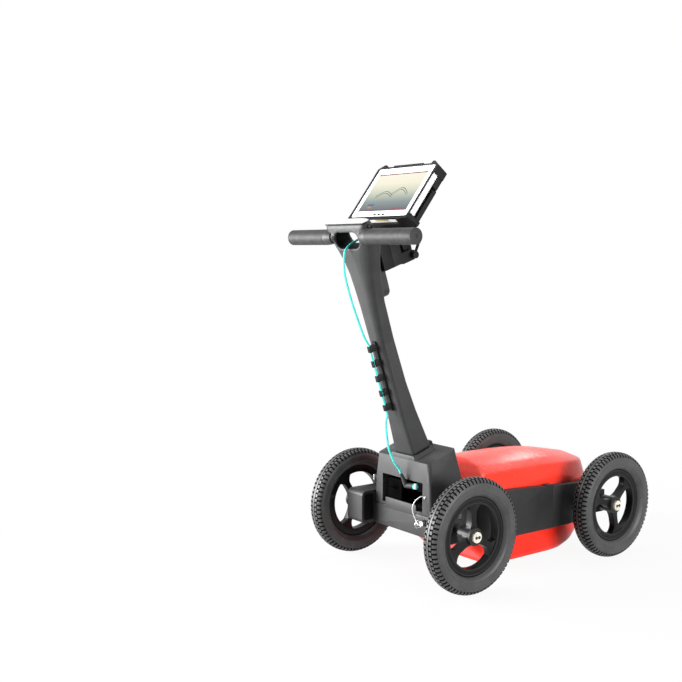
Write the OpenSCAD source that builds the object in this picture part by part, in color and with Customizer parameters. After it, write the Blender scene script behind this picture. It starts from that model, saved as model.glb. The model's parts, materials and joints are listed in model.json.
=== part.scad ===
// A four-wheeled push cart for a ground penetrating radar.
// Two red antenna shells ride low inside a black frame, and a folding mast
// carries a T handle and a tilting tablet. +X is forward, +Y left, +Z up.

/* [Wheels] */
// Outer radius of a tyre over its tread lugs
wheel_radius = 160; // [155:1:165]
// Distance between the rear and the front axle
wheelbase = 594; // [580:1:610]
// Distance between the left and right tyre middles
track = 504; // [496:1:516]
// Tyre width over the shoulder lugs
tyre_width = 55; // [52:1:57]
// Height of the tread lugs
lug_height = 3; // [2:0.5:3.5]
// Tread lugs around one row
lug_count = 56; // [48:1:64]
// Radius of the rim's flange
flange_radius = 107; // [104:1:109]
// Width of the rim between its flanges
rim_width = 24; // [22:1:27]
// Radius of the opening between hub and rim
rim_opening = 88; // [85:1:91]
// Spokes of one wheel
spoke_count = 3; // [3:1:5]
// Width of a spoke at its waist
spoke_width = 17; // [14:1:22]
// Thickness of a spoke along the axle
spoke_depth = 20; // [16:1:24]
// Radius of the wheel's hub
hub_radius = 24; // [22:1:27]
// Radius of the pale hub cap
cap_radius = 15; // [13.5:0.5:16]
// Radius of a wheel's axle
axle_radius = 6; // [5:0.5:6.5]

/* [Antenna] */
// Room from a wheel's middle to the side of the antenna shells
wheel_room = 92; // [88:1:96]
// Clearance from the floor to the lower shell
ground_clearance = 20; // [14:1:26]
// Wall of both antenna shells
shell_wall = 5; // [4:0.5:6]
// Rise of the upper shell's ridge above its rim line
cover_rise = 116; // [110:1:120]
// Height of the shells' parting line above the axles
parting_rise = 40; // [36:1:42]
// Distance from the shells' side to the end of a bow tie antenna plate
bowtie_inset = 50; // [45:1:55]

/* [Frame] */
// Thickness of the belt around the shells
belt_wall = 22; // [18:1:24]
// Slope of the belt's top edge, down towards the front
belt_slope = 0.061; // [0.04:0.005:0.08]
// Height of the rear beam
beam_height = 85; // [80:1:88]
// Depth of the rear beam along the cart
beam_depth = 58; // [54:1:62]
// Gap between the pylon's foot and a side rail
pylon_gap = 38; // [35:1:41]
// Wall between the battery bay and the pylon's side
pylon_wall = 24; // [20:1:28]
// Height of the battery bay
bay_height = 64; // [60:1:66]

/* [Mast] */
// Lean of the mast towards the operator, in degrees
lean = 19.1; // [18.1:0.5:20.1]
// Length of the mast from its foot to the head plate
mast_length = 681; // [670:1:690]
// Half width of the mast at its foot
mast_foot_half = 42; // [40:1:44]
// Half width of the mast at its waist
mast_waist_half = 30.5; // [29:0.5:33]
// Half width of the mast's head
head_half = 86; // [83:1:89]
// Radius of a hand grip
grip_radius = 21.5; // [20:0.5:22]
// Half length of the whole handle bar
handle_half = 274; // [265:1:280]
// Width of the oval hole through the head
head_hole_width = 104; // [96:1:108]
// Height of the oval hole through the head
head_hole_height = 46; // [40:1:48]
// Clips along the cable rail
clip_count = 5; // [4:1:6]
// Radius of the data cable
cable_radius = 3; // [2.6:0.1:3.2]

/* [Tablet] */
// Length of the tablet across the cart
tablet_length = 248; // [242:1:254]
// Height of the tablet along its screen
tablet_height = 186; // [182:1:190]
// Thickness of the tablet
tablet_depth = 19; // [17:0.5:21]
// Length of the visible screen
screen_length = 206; // [200:0.5:210]
// Height of the visible screen
screen_height = 135; // [130:0.5:138]
// Slope of the screen above the horizontal, in degrees
screen_slope = 52.7; // [51:0.5:54.5]
// Travel of a tablet button
button_travel = 0.7; // [0.5:0.1:0.9]

/* [Hidden] */
// Faces of every true round, and of the small ones
$fn = 96;
fine = 48;
// Overrun of every cut past the face it opens
over = 2;
// Gap between pieces that move past each other, and around a running shaft
slip = 0.3;
run = 0.05;
// Full turn and half of anything
turn = 360;
quarter = 90;
half_share = 1/2;

// The wheelbase's middle lies ahead of the whole cart's middle
axle_shift = 46;
rear_x = axle_shift - wheelbase * half_share;
front_x = axle_shift + wheelbase * half_share;
axle_z = wheel_radius;
wheel_y = track * half_share;
shell_half = wheel_y - wheel_room;
belt_gap = 2;
belt_in = shell_half + belt_gap;
belt_out = belt_in + belt_wall;

// Wheel: tyre section, rim and hub along the axle, outboard positive
tyre_round = 26;
tyre_wall = 5.5;
crown_cover = 0.5;
tyre_core = wheel_radius - lug_height - tyre_round - crown_cover;
tyre_bore = tyre_round - tyre_wall;
flange_height = 9;
bead_rise = 6;
bead_seat = flange_radius - flange_height;
bead_top = flange_radius + bead_rise;
crown_radius = wheel_radius - lug_height;
crown_half = 9.5;
shoulder_drop = 10;
shoulder_radius = crown_radius - shoulder_drop;
shoulder_half = tyre_width * half_share - lug_height;
lug_share = 0.58;
lug_root = 1.5;
crown_lug_half = 8;
shoulder_lug_in = 11;
flange_wall = 2.5;
rim_half = rim_width * half_share;
hub_out = 16;
hub_in = 30;
flare_near = 44;
flare_near_width = 38;
flare_far_width = 60;
flare_far = 62;
flare_steps = 5;
spoke_sink = 1;
bearing_radius = 14;
bearing_width = 9;
cap_wall = 3;
cap_bore = 11;
nut_radius = 9;
nut_depth = 6;
nut_room = 1;
nut_sides = 6;
cap_bolt_radius = 3;
cap_bolt_ring = 8;
cap_bolt_count = 3;
cap_bolt_height = 1.2;
// Turn of each wheel as it stands, in degrees
rim_spins = [0, 26, 73, 75];

// Rear beam and pylon
beam_rise = 46;
beam_top = axle_z + beam_rise;
beam_bottom = beam_top - beam_height;
beam_rear = rear_x - beam_depth * half_share;
beam_front = rear_x + beam_depth * half_share;
beam_end_gap = 62;
beam_right = wheel_y - beam_end_gap;
pylon_floor = 6;
bay_bottom = beam_top + pylon_floor;
bay_top = bay_bottom + bay_height;
bay_depth = 112;
bay_front = beam_rear + bay_depth;
pylon_flare = 13;
pylon_mid_flare = 9;
pylon_low_half = belt_in - pylon_gap;
pylon_half = pylon_low_half - pylon_flare;
pylon_mid_half = pylon_half + pylon_mid_flare;
bay_half = pylon_half - pylon_wall;
beam_left = pylon_low_half;
pylon_mid_rise = 62;
pylon_depth = 143;
pylon_mid_depth = 128;
pylon_low_front = beam_rear + pylon_depth;
pylon_mid_front = beam_rear + pylon_mid_depth;
pylon_edge = 9;

// Mast frame: its origin is the rear edge of the mast's foot
foot_inset = 5;
pylon_tall = 141;
foot_x = beam_rear + foot_inset;
foot_z = beam_top + pylon_tall;
foot_gap = 12;
pylon_top_rear = -9.4;
pylon_top_front = 98;
hinge_a = 82;
hinge_c = -2.5;
knuckle_radius = 8.5;
pin_radius = 4;
knuckle_half = 12;
knuckle_end = 25;
pin_half = 26;
web_a = 55;
web_low = -6.5;
web_high = 4;
foot_plug_a = [4, 66];
foot_plug_half = 36;
foot_plug_low = -11.9;

// Mast stations up from the foot: rear edge, front edge, half width
mast_edge = 9;
mast_depth = 70;
// Rear corners of the head: how deep and how wide the wings fall away
wing_deep = 30;
wing_wide = 46;
station_shares = [0, 0.02, 0.173, 0.301, 0.492, 0.655, 0.734, 0.793, 0.844, 0.888, 0.916, 0.947, 0.987, 1];
station_rear_shares = [0, 0, 0, 0, 0, 0, 0, -0.015, -0.04, -0.07, -0.085, -0.07, -0.055, -0.015];
station_front_shares = [1, 0.985, 0.82, 0.72, 0.7, 0.655, 0.67, 0.7, 0.73, 0.757, 0.77, 0.77, 0.77, 0.73];
// How far each station goes from the waist to the foot, and from the waist to the head
station_foot_shares = [1, 0.93, 0.43, 0.26, 0, 0, 0, 0, 0, 0, 0, 0, 0, 0];
station_head_shares = [0, 0, 0, 0, 0, 0.12, 0.24, 0.36, 0.55, 0.75, 0.875, 0.97, 1, 0.95];
// How far each station's rear corners go from the plain edge to the wings
station_wing_shares = [0, 0, 0.05, 0.1, 0.25, 0.45, 0.6, 0.8, 0.95, 1, 0.9, 0.6, 0.25, 0.1];
handle_a = 4.8;
handle_drop = 36;
handle_c = mast_length - handle_drop;
spigot_radius = 14;
stub_tip = 11;
// The left grip is shorter than the right one
left_trim = 18;
grip_gap = 6;
grip_start = head_half + grip_gap;
end_cap_depth = 6;
cap_screw_radius = 4;
cap_screw_depth = 2;
hole_drop = 8;
hole_c = handle_c - hole_drop;
head_depth = 80;
spigot_cover = 4;
spigot_in = head_hole_width * half_share + spigot_cover;

// Head plate and the thumb knob on the head's flank
plate_depth = 3;
plate_a = [-10, 48];
plate_inset = 7;
plate_half = head_half - plate_inset;
plate_edge = 8;
knob_a = 36;
knob_drop = 10;
knob_c = mast_length - knob_drop;
knob_radius = 5.5;
knob_length = 8;
plate_screw_radius = 3;
plate_screw_a = 4;
plate_screw_inset = 20;
plate_screw_tall = 1;
plate_screw_y = head_half - plate_screw_inset;

// Cable rail on the mast's rear face, and the cable behind it
rail_shares = [0.2, 0.507];
rail_c = [mast_length * rail_shares[0], mast_length * rail_shares[1]];
rail_half = 6.5;
rail_depth = 5;
cable_a = -21;
clip_reach = 26;
clip_half = 5.5;
clip_height = 9;
clip_pitch_in = 16;
clip_slot = 4.4;
clip_sink = 1;
// Route of the data cable in the mast's frame, below and above the clips
cable_sides = 12;
lower_points = [[-52, -10, 10], [-51, -7, 55], [-39, -3, 105]];
rise_points = [-30, -37, -40, -38, -28];
rise_shares = [0.546, 0.646, 0.734, 0.8165, 0.869];
hole_points = [[-12, 0, -20], [25, 0, -10], [60, 0, -9], [84, 0, -15], [97, 0, -26]];
arm_socket_a = 100;

// Tilt arm on the mast's front face
pad_a = [40, 69];
pad_half = 24;
arm_drop = 81;
arm_tall = 75;
pad_tall = 126;
lobe_a = 80;
pad_c = [mast_length - arm_drop - pad_tall, mast_length - arm_drop];
pad_round = 24;
arm_a = [69, 140];
arm_half = 36;
arm_c = [mast_length - arm_drop - arm_tall, mast_length - arm_drop];
nose_drop = 3;
nose_tall = 30;
nose_low = arm_c[0] - nose_drop;
nose_high = nose_low + nose_tall;
tilt_a = 178;
tilt_round = 14;
tilt_c = nose_low + tilt_round;
ear_in = 20;
slot_a = 152;
stud_radius = 4;
arm_seam = 1.2;
arm_seam_a = 104;
nut_out = 8;

// Tilt lever
lever_hub = 10;
lever_wide = 14;
lever_length = 40;
lever_round = 4;
lever_ball = 5.5;
lever_tilt = 23;
lever_y = 7;

// Tablet frame: the screen's middle, X up the screen, Z out of it
screen_back = 45.8;
screen_rise = 172.9;
tilt_point = at_mast([tilt_a, 0, tilt_c]);
screen_x = tilt_point[0] - screen_back;
screen_z = tilt_point[2] + screen_rise;
half_tall = tablet_height * half_share;
half_long = tablet_length * half_share;
screen_half_tall = screen_height * half_share;
screen_half_long = screen_length * half_share;
tablet_round = 12;
bezel_depth = 2.2;
screen_sink = 0.3;
frame_wide = 5;
guard_front = 1.6;
guard_wall = 3;
guard_low = 31;
guard_tall = 9;
guard_peak = 18;
guard_crest = 26;
guard_wide = 30;
guard_deep = 40;
bump_in = 5;
bump_radius = 9;
button_v = -80.5;
button_pitch = 18;
button_length = 10;
button_height = 5;
button_stand = 0.8;
dock_v = [-84, 35];
dock_half = 119;
dock_back = 46;
dock_round = 10;
dock_slab = 14;
spacer_in = 13;
ledge_depth = 7;
ledge_half = 84;
hook_front = 2;
hook_in = 40;
hook_flat = 26;
hook_rise = 5;
hook_top = 17;
hook_out = 2;
dock_rib_count = 5;
dock_rib_pitch = 16.2;
dock_rib_wide = 6;
dock_rib_deep = 4;
neck_half = 19.6;
neck_v = [-66, -14];
neck_sink = 10;

// Antenna shells
tub_gap = 22;
tub_rear = beam_front + tub_gap;
tub_top = axle_z + parting_rise;
tub_inset = 1;
tub_reach = 84;
nose_length = 187;
tub_half = shell_half - tub_inset;
tub_front = front_x + tub_reach;
shell_turn = front_x - nose_length;
nose_power_share = 0.77;
nose_steps = 9;
nose_sweep = 84;
corner_steps = 5;
tub_corner = 34;
lug_inset = 27;
lug_y = lug_inset - pylon_low_half;
lock_rise = 6;
lug_z = axle_z + lock_rise;
lug_half = 14;
lug_tall = 28;
lock_radius = 5;
cover_gap = 92;
cover_reach = 90;
cover_rear = beam_front + cover_gap;
cover_front = front_x + cover_reach;
cover_long = cover_front - cover_rear;
// Rings of the lower shell from its floor up
tub_level_shares = [0, 0.07, 0.25, 0.5, 0.7, 1];
tub_inset_shares = [0.075, 0.03, 0.015, 0.007, 0.004, 0];
tub_nose_shares = [0.52, 0.33, 0.135, 0.04, 0.02, 0];
tub_tail_shares = [0.79, 0.74, 0.49, 0.22, 0.01, 0];
// Rings of the upper shell from its rim line up
cover_inset_shares = [0, 0, 0.14, 0.425, 0.81];
cover_tail_shares = [0, 0.004, 0.068, 0.107, 0.135];
cover_nose_shares = [0, 0, 0.007, 0.018, 0.06];
cover_tail_rise_shares = [0, 0.42, 0.72, 0.86, 0.92];
cover_mid_rise_shares = [0, 0.39, 0.74, 0.875, 1];
cover_late_rise_shares = [0, 0.34, 0.7, 0.815, 0.92];
cover_nose_rise_shares = [0, 0.17, 0.55, 0.58, 0.64];
cover_mid_share = 0.43;
cover_late_share = 0.68;

// Belt
belt_rear = beam_front;
belt_seam = front_x - nose_length;
belt_reach = 104;
belt_drop_rear = 55;
belt_drop_front = 62;
belt_rise = 92;
belt_front = front_x + belt_reach;
belt_low_rear = axle_z - belt_drop_rear;
belt_low_front = axle_z - belt_drop_front;
belt_high_rear = axle_z + belt_rise;
band_front_wall = 12;
bracket_x = 27;
bracket_in = 12;
bracket_out = 21;
bracket_y = [belt_in - bracket_in, belt_out + bracket_out];
bracket_z = 34;
tab_length = 26;
tab_height = 4;
tab_drop = 10;

// Encoder on the left end of the rear beam
encoder_reach = 47;
encoder_lead = 12;
encoder_rear = beam_rear - encoder_reach;
encoder_front = beam_front + encoder_lead;
encoder_end_gap = 60;
encoder_out = wheel_y - encoder_end_gap;
encoder_wide = encoder_out - beam_left;
encoder_drop = 38;
encoder_rise = 58;
encoder_low = axle_z - encoder_drop;
encoder_high = axle_z + encoder_rise;
encoder_wall = 5;
encoder_round = 14;
disc_radius = 30;
disc_depth = 3;
disc_y = beam_left + (encoder_wide - disc_depth) * half_share;
encoder_slots = 12;
slot_wide = 3;
slot_ring = 22;
slot_length = 6;
sleeve_radius = 11;
sleeve_bore = 6.6;
sensor_tall = 12;
sensor_deep = 46;
sensor_half_share = 0.18;
sensor_slot_share = 0.07;
sensor_half = encoder_wide * sensor_half_share;
sensor_slot = encoder_wide * sensor_slot_share;
sensor_gap = 3;
sensor_back = rear_x - disc_radius - sensor_gap - encoder_rear - encoder_wall;

// Quick release pin and its coated wire
lock_gap = 5;
lock_head = beam_rear - lock_gap;
lock_head_radius = 9;
lock_length = 78;
ring_radius = 11;
ring_round = 1.6;
wire_radius = 1.5;
wire_sides = 8;
eye_y = lug_y;
eye_rise = 77;
eye_z = axle_z + eye_rise;
eye_radius = 4;
eye_depth = 3;
// Route of the coated wire from its eyelet
lanyard_points = [[-7, 6, 4], [-17, 18, -8], [-22, 26, -26], [-21, 25, -46], [-17, 16, -66], [-20, 4, -76]];

// Battery, socket and plug in the bay
battery_in = 12;
battery_long = 88;
battery_y_shares = [0.16, 0.94];
battery_x = [beam_rear + battery_in, beam_rear + battery_in + battery_long];
battery_y = [bay_half * battery_y_shares[0], bay_half * battery_y_shares[1]];
battery_z = 52;
battery_round = 6;
tab_wide = 26;
tab_thick = 3;
tab_out = 10;
socket_y_shares = [-0.44, 0.07];
plug_y_share = -0.185;
socket_y = [bay_half * socket_y_shares[0], bay_half * socket_y_shares[1]];
plug_y = bay_half * plug_y_share;
plug_drop = 41;
socket_in = 2;
socket_low_lip = 16;
socket_high = 48;
socket_slope_deep = 28;
socket_deep = 56;
socket_rear = beam_rear + socket_in;
socket_high_x = socket_rear + socket_slope_deep;
socket_front = socket_rear + socket_deep;
plug_in = 18;
plug_rise = 35;
plug_x = beam_rear + plug_in;
plug_z = bay_bottom + plug_rise;
plug_radius = 7.5;
plug_length = 28;
boot_length = 32;
boot_tip = 4.2;
boot_run = 26;

// Antenna plates and board inside the shells
plate_thick = 2;
bowtie_waist = 12;
bowtie_deep = 90;
bowtie_span = (shell_half - bowtie_inset) * 2;
transmit_x = 10;
receive_x = 205;
board_x = [-60, 150];
board_inset = 60;
board_half = shell_half - board_inset;
board_rise = 85;
board_thick = 3;
board_post = 6;
board_post_in = 12;
chip_shares = [[0.15, -0.4], [0.4, 0.3], [0.65, -0.2], [0.8, 0.5]];
chip_half = 14;
chip_tall = 8;

// Colours of the cart's materials
black = [0.13, 0.13, 0.14];
dark = [0.08, 0.08, 0.09];
red = [0.92, 0.2, 0.16];
steel = [0.7, 0.71, 0.73];
pale = [0.93, 0.93, 0.91];
cream = [0.86, 0.84, 0.76];
teal = [0.2, 0.68, 0.64];
copper = [0.72, 0.45, 0.2];
green = [0.1, 0.4, 0.22];

// Lists and small geometry
function flat(rings) = [for (r = rings) for (p = r) p];
function unit(v) = v / norm(v);

// Half of a plan outline from the tail to the nose, as [x, y] with y positive
function half_plan(half, tail, start, nose, corner) = concat(
    [for (i = [0:corner_steps]) let (t = quarter * i / corner_steps)
        [tail + corner * (1 - cos(t)), half - corner * (1 - sin(t))]],
    [for (i = [0:nose_steps]) let (t = nose_sweep * i / nose_steps)
        [start + (nose - start) * pow(sin(t), nose_power_share), half * pow(cos(t), nose_power_share)]]);

// A mirrored ring from half a plan; heights come from the list of [x, z]
function ring(plan, heights) = concat(
    [for (p = plan) [p[0], -p[1], lookup(p[0], heights)]],
    [for (i = [len(plan) - 1:-1:0]) let (p = plan[i]) [p[0], p[1], lookup(p[0], heights)]]);

// A mirrored ring in the mast's own frame; its rear corners fall away by deep and wide
function mast_ring(rear, front, half, deep, wide, c) = let (
    plan = concat(
        [for (i = [0:corner_steps]) let (t = quarter * i / corner_steps)
            [rear + deep * (1 - cos(t)), half - wide * (1 - sin(t))]],
        [for (i = [0:corner_steps]) let (t = quarter * i / corner_steps)
            [front - mast_edge * (1 - sin(t)), half - mast_edge * (1 - cos(t))]]))
    concat([for (p = plan) [p[0], -p[1], c]],
        [for (i = [len(plan) - 1:-1:0]) let (p = plan[i]) [p[0], p[1], c]]);

// Place of a point of the mast's frame in the cart's frame
function at_mast(p) = [foot_x + p[0] * cos(lean) - p[2] * sin(lean), p[1],
    foot_z + p[0] * sin(lean) + p[2] * cos(lean)];
// Place of a point of the tablet's frame in the cart's frame
function at_tablet(p) = [screen_x + p[0] * cos(screen_slope) - p[2] * sin(screen_slope), p[1],
    screen_z + p[0] * sin(screen_slope) + p[2] * cos(screen_slope)];

// A closed skin over mirrored rings, from the first ring to the last
module skin(rings) {
    n = len(rings[0]);
    last = (len(rings) - 1) * n;
    faces = concat(
        [for (i = [0:n / 2 - 2]) [i, i + 1, n - 2 - i, n - 1 - i]],
        [for (r = [0:len(rings) - 2]) for (i = [0:n - 1])
            [r * n + i, (r + 1) * n + i, (r + 1) * n + (i + 1) % n]],
        [for (r = [0:len(rings) - 2]) for (i = [0:n - 1])
            [r * n + i, (r + 1) * n + (i + 1) % n, r * n + (i + 1) % n]],
        [for (i = [0:n / 2 - 2]) [last + n - 1 - i, last + n - 2 - i, last + i + 1, last + i]]);
    polyhedron(points = flat(rings), faces = faces, convexity = 10);
}

// Points between the given ones on a smooth curve
function smooth(list, steps) = concat(
    [for (i = [0:len(list) - 2]) for (k = [0:steps - 1]) let (
        t = k / steps,
        a = list[max(i - 1, 0)],
        b = list[i],
        c = list[i + 1],
        d = list[min(i + 2, len(list) - 1)])
        (b * 2 + (c - a) * t + (a * 2 - b * 5 + c * 4 - d) * t * t
            + (b * 3 - a - c * 3 + d) * t * t * t) / 2],
    [list[len(list) - 1]]);

// A round cord swept along a path, its rings carried along without twist
module cord(path, radius, sides) {
    count = len(path);
    dirs = [for (i = [0:count - 1]) unit(path[min(i + 1, count - 1)] - path[max(i - 1, 0)])];
    side = [0, 1, 0];
    frames = [for (d = dirs) let (u = unit(side - d * (side * d))) [u, cross(d, u)]];
    points = [for (i = [0:count - 1]) for (k = [0:sides - 1])
        path[i] + radius * (cos(turn * k / sides) * frames[i][0] + sin(turn * k / sides) * frames[i][1])];
    faces = concat(
        [[for (k = [0:sides - 1]) k]],
        [for (i = [0:count - 2]) for (k = [0:sides - 1])
            [i * sides + k, (i + 1) * sides + k, (i + 1) * sides + (k + 1) % sides]],
        [for (i = [0:count - 2]) for (k = [0:sides - 1])
            [i * sides + k, (i + 1) * sides + (k + 1) % sides, i * sides + (k + 1) % sides]],
        [[for (k = [sides - 1:-1:0]) (count - 1) * sides + k]]);
    polyhedron(points = points, faces = faces, convexity = 10);
}

module in_mast() {
    translate([foot_x, 0, foot_z]) rotate([0, -lean, 0]) children();
}

module in_tablet() {
    translate([screen_x, 0, screen_z]) rotate([0, -screen_slope, 0]) children();
}

// A cylinder along Y from y0 to y1
module along_y(r, y0, y1, f = fine) {
    translate([0, y1, 0]) rotate([quarter, 0, 0]) cylinder(r = r, h = y1 - y0, $fn = f);
}

// A box between two corners
module box(low, high) {
    translate(low) cube(high - low);
}

// A plate with rounded corners between two corners of its plan
module round_plate(low, high, edge, z0, z1) {
    translate([0, 0, z0]) linear_extrude(z1 - z0) round_area(low, high, edge);
}

module round_area(low, high, edge) {
    translate([low[0] + edge, low[1]]) square([high[0] - low[0] - edge * 2, high[1] - low[1]]);
    translate([low[0], low[1] + edge]) square([high[0] - low[0], high[1] - low[1] - edge * 2]);
    for (x = [low[0] + edge, high[0] - edge])
        for (y = [low[1] + edge, high[1] - edge])
            translate([x, y]) circle(r = edge, $fn = fine);
}

// Carries a wheel piece, drawn with its outboard side up, to its place
module at_wheel(x, side) {
    translate([x, side * wheel_y, axle_z]) rotate([-side * quarter, 0, 0]) children();
}

// Half section of the tyre without its lugs
module tyre_section() {
    difference() {
        union() {
            translate([tyre_core, 0]) circle(r = tyre_round);
            polygon([[tyre_core, -shoulder_half], [shoulder_radius, -shoulder_half],
                [crown_radius, -crown_half], [crown_radius, crown_half],
                [shoulder_radius, shoulder_half], [tyre_core, shoulder_half]]);
            translate([bead_seat, -rim_half + flange_wall])
                square([bead_top - bead_seat, (rim_half - flange_wall) * 2]);
        }
        translate([tyre_core, 0]) circle(r = tyre_bore);
        translate([bead_seat - over, -rim_half * half_share])
            square([tyre_core - bead_seat, rim_half]);
        for (s = [-1, 1])
            translate([bead_seat - over, s > 0 ? rim_half - flange_wall : -tyre_width])
                square([flange_radius - bead_seat + over, tyre_width - rim_half + flange_wall]);
    }
}

// A fan of radial teeth, turned by a share of one pitch
module lug_fan(turn_share) {
    pitch = turn / lug_count;
    rotate(pitch * turn_share) translate([0, 0, -tyre_width]) linear_extrude(tyre_width * 2)
        polygon([for (i = [0:lug_count - 1]) for (p = [0, 1, 2, 3])
            let (a = pitch * (i + (p < 2 ? 0 : lug_share)),
                r = (p == 0 || p == 3) ? tyre_core : wheel_radius + over)
            [r * cos(a), r * sin(a)]]);
}

module lug_row(points, turn_share) {
    intersection() {
        rotate_extrude() polygon(points);
        lug_fan(turn_share);
    }
}

module tyre() {
    color(dark) union() {
        rotate_extrude() tyre_section();
        lug_row([[crown_radius - lug_root, -crown_lug_half], [wheel_radius, -crown_lug_half],
            [wheel_radius, crown_lug_half], [crown_radius - lug_root, crown_lug_half]], 0);
        for (s = [-1, 1])
            lug_row([[crown_radius - lug_root * 2, s * shoulder_lug_in],
                [wheel_radius - lug_root, s * shoulder_lug_in],
                [shoulder_radius + lug_height, s * tyre_width * half_share],
                [shoulder_radius - lug_height, s * (shoulder_half + lug_root)],
                [shoulder_radius - lug_height, s * (shoulder_half - lug_root)]], half_share);
    }
}

// Half width of a spoke's flare, a share t of the way to its wide end
function flare(wide, t) = (spoke_width + (wide - spoke_width) * t * t) * half_share;

// One edge of a flared spoke along +Y, from the hub to the rim
function spoke_edge() = concat(
    [for (i = [flare_steps:-1:0]) let (t = i / flare_steps)
        [flare(flare_near_width, t), flare_near * (1 - t) + hub_radius * half_share * t]],
    [for (i = [0:flare_steps]) let (t = i / flare_steps)
        [flare(flare_far_width, t), flare_far * (1 - t) + (rim_opening + spoke_sink) * t]]);

module spoke_area() {
    edge = spoke_edge();
    polygon(concat(edge, [for (i = [len(edge) - 1:-1:0]) [-edge[i][0], edge[i][1]]]));
}

module rim(spin) {
    color(black) difference() {
        union() {
            rotate_extrude() polygon([[rim_opening, -rim_half], [flange_radius, -rim_half],
                [flange_radius, -rim_half + flange_wall], [bead_seat, -rim_half + flange_wall],
                [bead_seat, rim_half - flange_wall], [flange_radius, rim_half - flange_wall],
                [flange_radius, rim_half], [rim_opening, rim_half]]);
            rotate(spin) for (i = [0:spoke_count - 1]) rotate(turn * i / spoke_count)
                translate([0, 0, -spoke_depth * half_share]) linear_extrude(spoke_depth) spoke_area();
            translate([0, 0, -hub_in]) cylinder(r = hub_radius, h = hub_in + hub_out);
        }
        translate([0, 0, -hub_in - over])
            cylinder(r = bearing_radius - cap_wall, h = hub_in + hub_out + over * 2);
        for (z = [-hub_in, hub_out - bearing_width])
            translate([0, 0, z == -hub_in ? z - over : z])
                cylinder(r = bearing_radius, h = bearing_width + over, $fn = fine);
    }
}

module bearings() {
    color(steel) for (z = [-hub_in, hub_out - bearing_width]) translate([0, 0, z]) difference() {
        cylinder(r = bearing_radius, h = bearing_width, $fn = fine);
        translate([0, 0, -over])
            cylinder(r = axle_radius + run, h = bearing_width + over * 2, $fn = fine);
    }
}

// A pale cap over the axle nut, held by small screws
module hub_cap() {
    color(cream) difference() {
        union() {
            translate([0, 0, hub_out])
                cylinder(r = cap_radius, h = nut_depth + cap_wall, $fn = fine);
            for (i = [0:cap_bolt_count - 1]) rotate(turn * i / cap_bolt_count)
                translate([cap_bolt_ring, 0, hub_out + nut_depth + cap_wall])
                    cylinder(r = cap_bolt_radius, h = cap_bolt_height, $fn = fine);
        }
        translate([0, 0, hub_out - over])
            cylinder(r = cap_bore, h = nut_depth + over + nut_room, $fn = fine);
    }
}

// A stub axle with a seat for the inner bearing and a lock nut outboard; foot is its inner end
module axle(foot) {
    color(steel) union() {
        translate([0, 0, -foot]) cylinder(r = axle_radius, h = foot + hub_out + nut_depth, $fn = fine);
        translate([0, 0, hub_out + slip])
            cylinder(r = nut_radius, h = nut_depth - slip * 2, $fn = nut_sides);
    }
}

module rear_axle_right() { at_wheel(rear_x, -1) axle(wheel_y - beam_left); }
module rear_axle_left() { at_wheel(rear_x, 1) axle(wheel_y - beam_left + beam_depth * half_share); }
module front_axle_right() { at_wheel(front_x, -1) axle(wheel_y - bracket_y[0] - belt_wall); }
module front_axle_left() { at_wheel(front_x, 1) axle(wheel_y - bracket_y[0] - belt_wall); }

module tyre_rear_right() { at_wheel(rear_x, -1) tyre(); }
module tyre_rear_left() { at_wheel(rear_x, 1) tyre(); }
module tyre_front_right() { at_wheel(front_x, -1) tyre(); }
module tyre_front_left() { at_wheel(front_x, 1) tyre(); }

module rim_rear_right() { at_wheel(rear_x, -1) rim(rim_spins[0]); }
module rim_rear_left() { at_wheel(rear_x, 1) rim(rim_spins[1]); }
module rim_front_right() { at_wheel(front_x, -1) rim(rim_spins[2]); }
module rim_front_left() { at_wheel(front_x, 1) rim(rim_spins[3]); }

module bearings_rear_right() { at_wheel(rear_x, -1) bearings(); }
module bearings_rear_left() { at_wheel(rear_x, 1) bearings(); }
module bearings_front_right() { at_wheel(front_x, -1) bearings(); }
module bearings_front_left() { at_wheel(front_x, 1) bearings(); }

module hub_cap_rear_right() { at_wheel(rear_x, -1) hub_cap(); }
module hub_cap_rear_left() { at_wheel(rear_x, 1) hub_cap(); }
module hub_cap_front_right() { at_wheel(front_x, -1) hub_cap(); }
module hub_cap_front_left() { at_wheel(front_x, 1) hub_cap(); }

// Slotted disc on a sleeve that turns with the left rear wheel
module encoder_disc() {
    color(steel) translate([rear_x, 0, axle_z]) difference() {
        union() {
            along_y(disc_radius, disc_y, disc_y + disc_depth);
            along_y(sleeve_radius, disc_y - disc_depth, wheel_y - hub_in);
        }
        along_y(sleeve_bore, disc_y - disc_depth - over, wheel_y - hub_in + over);
        for (i = [0:encoder_slots - 1]) rotate([0, turn * i / encoder_slots, 0])
            box([slot_ring, disc_y - over, -slot_wide * half_share],
                [slot_ring + slot_length, disc_y + disc_depth + over, slot_wide * half_share]);
    }
}

module rear_beam() {
    color(black) difference() {
        box([beam_rear, -beam_right, beam_bottom], [beam_front, beam_left, beam_top]);
        translate([rear_x, 0, axle_z]) {
            along_y(axle_radius, -beam_right - over, -beam_left);
            along_y(axle_radius, beam_left - beam_depth * half_share, beam_left + over);
        }
        translate([beam_rear - over, lug_y, lug_z]) rotate([0, quarter, 0])
            cylinder(r = lock_radius + run, h = beam_depth + over * 2, $fn = fine);
    }
}

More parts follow.
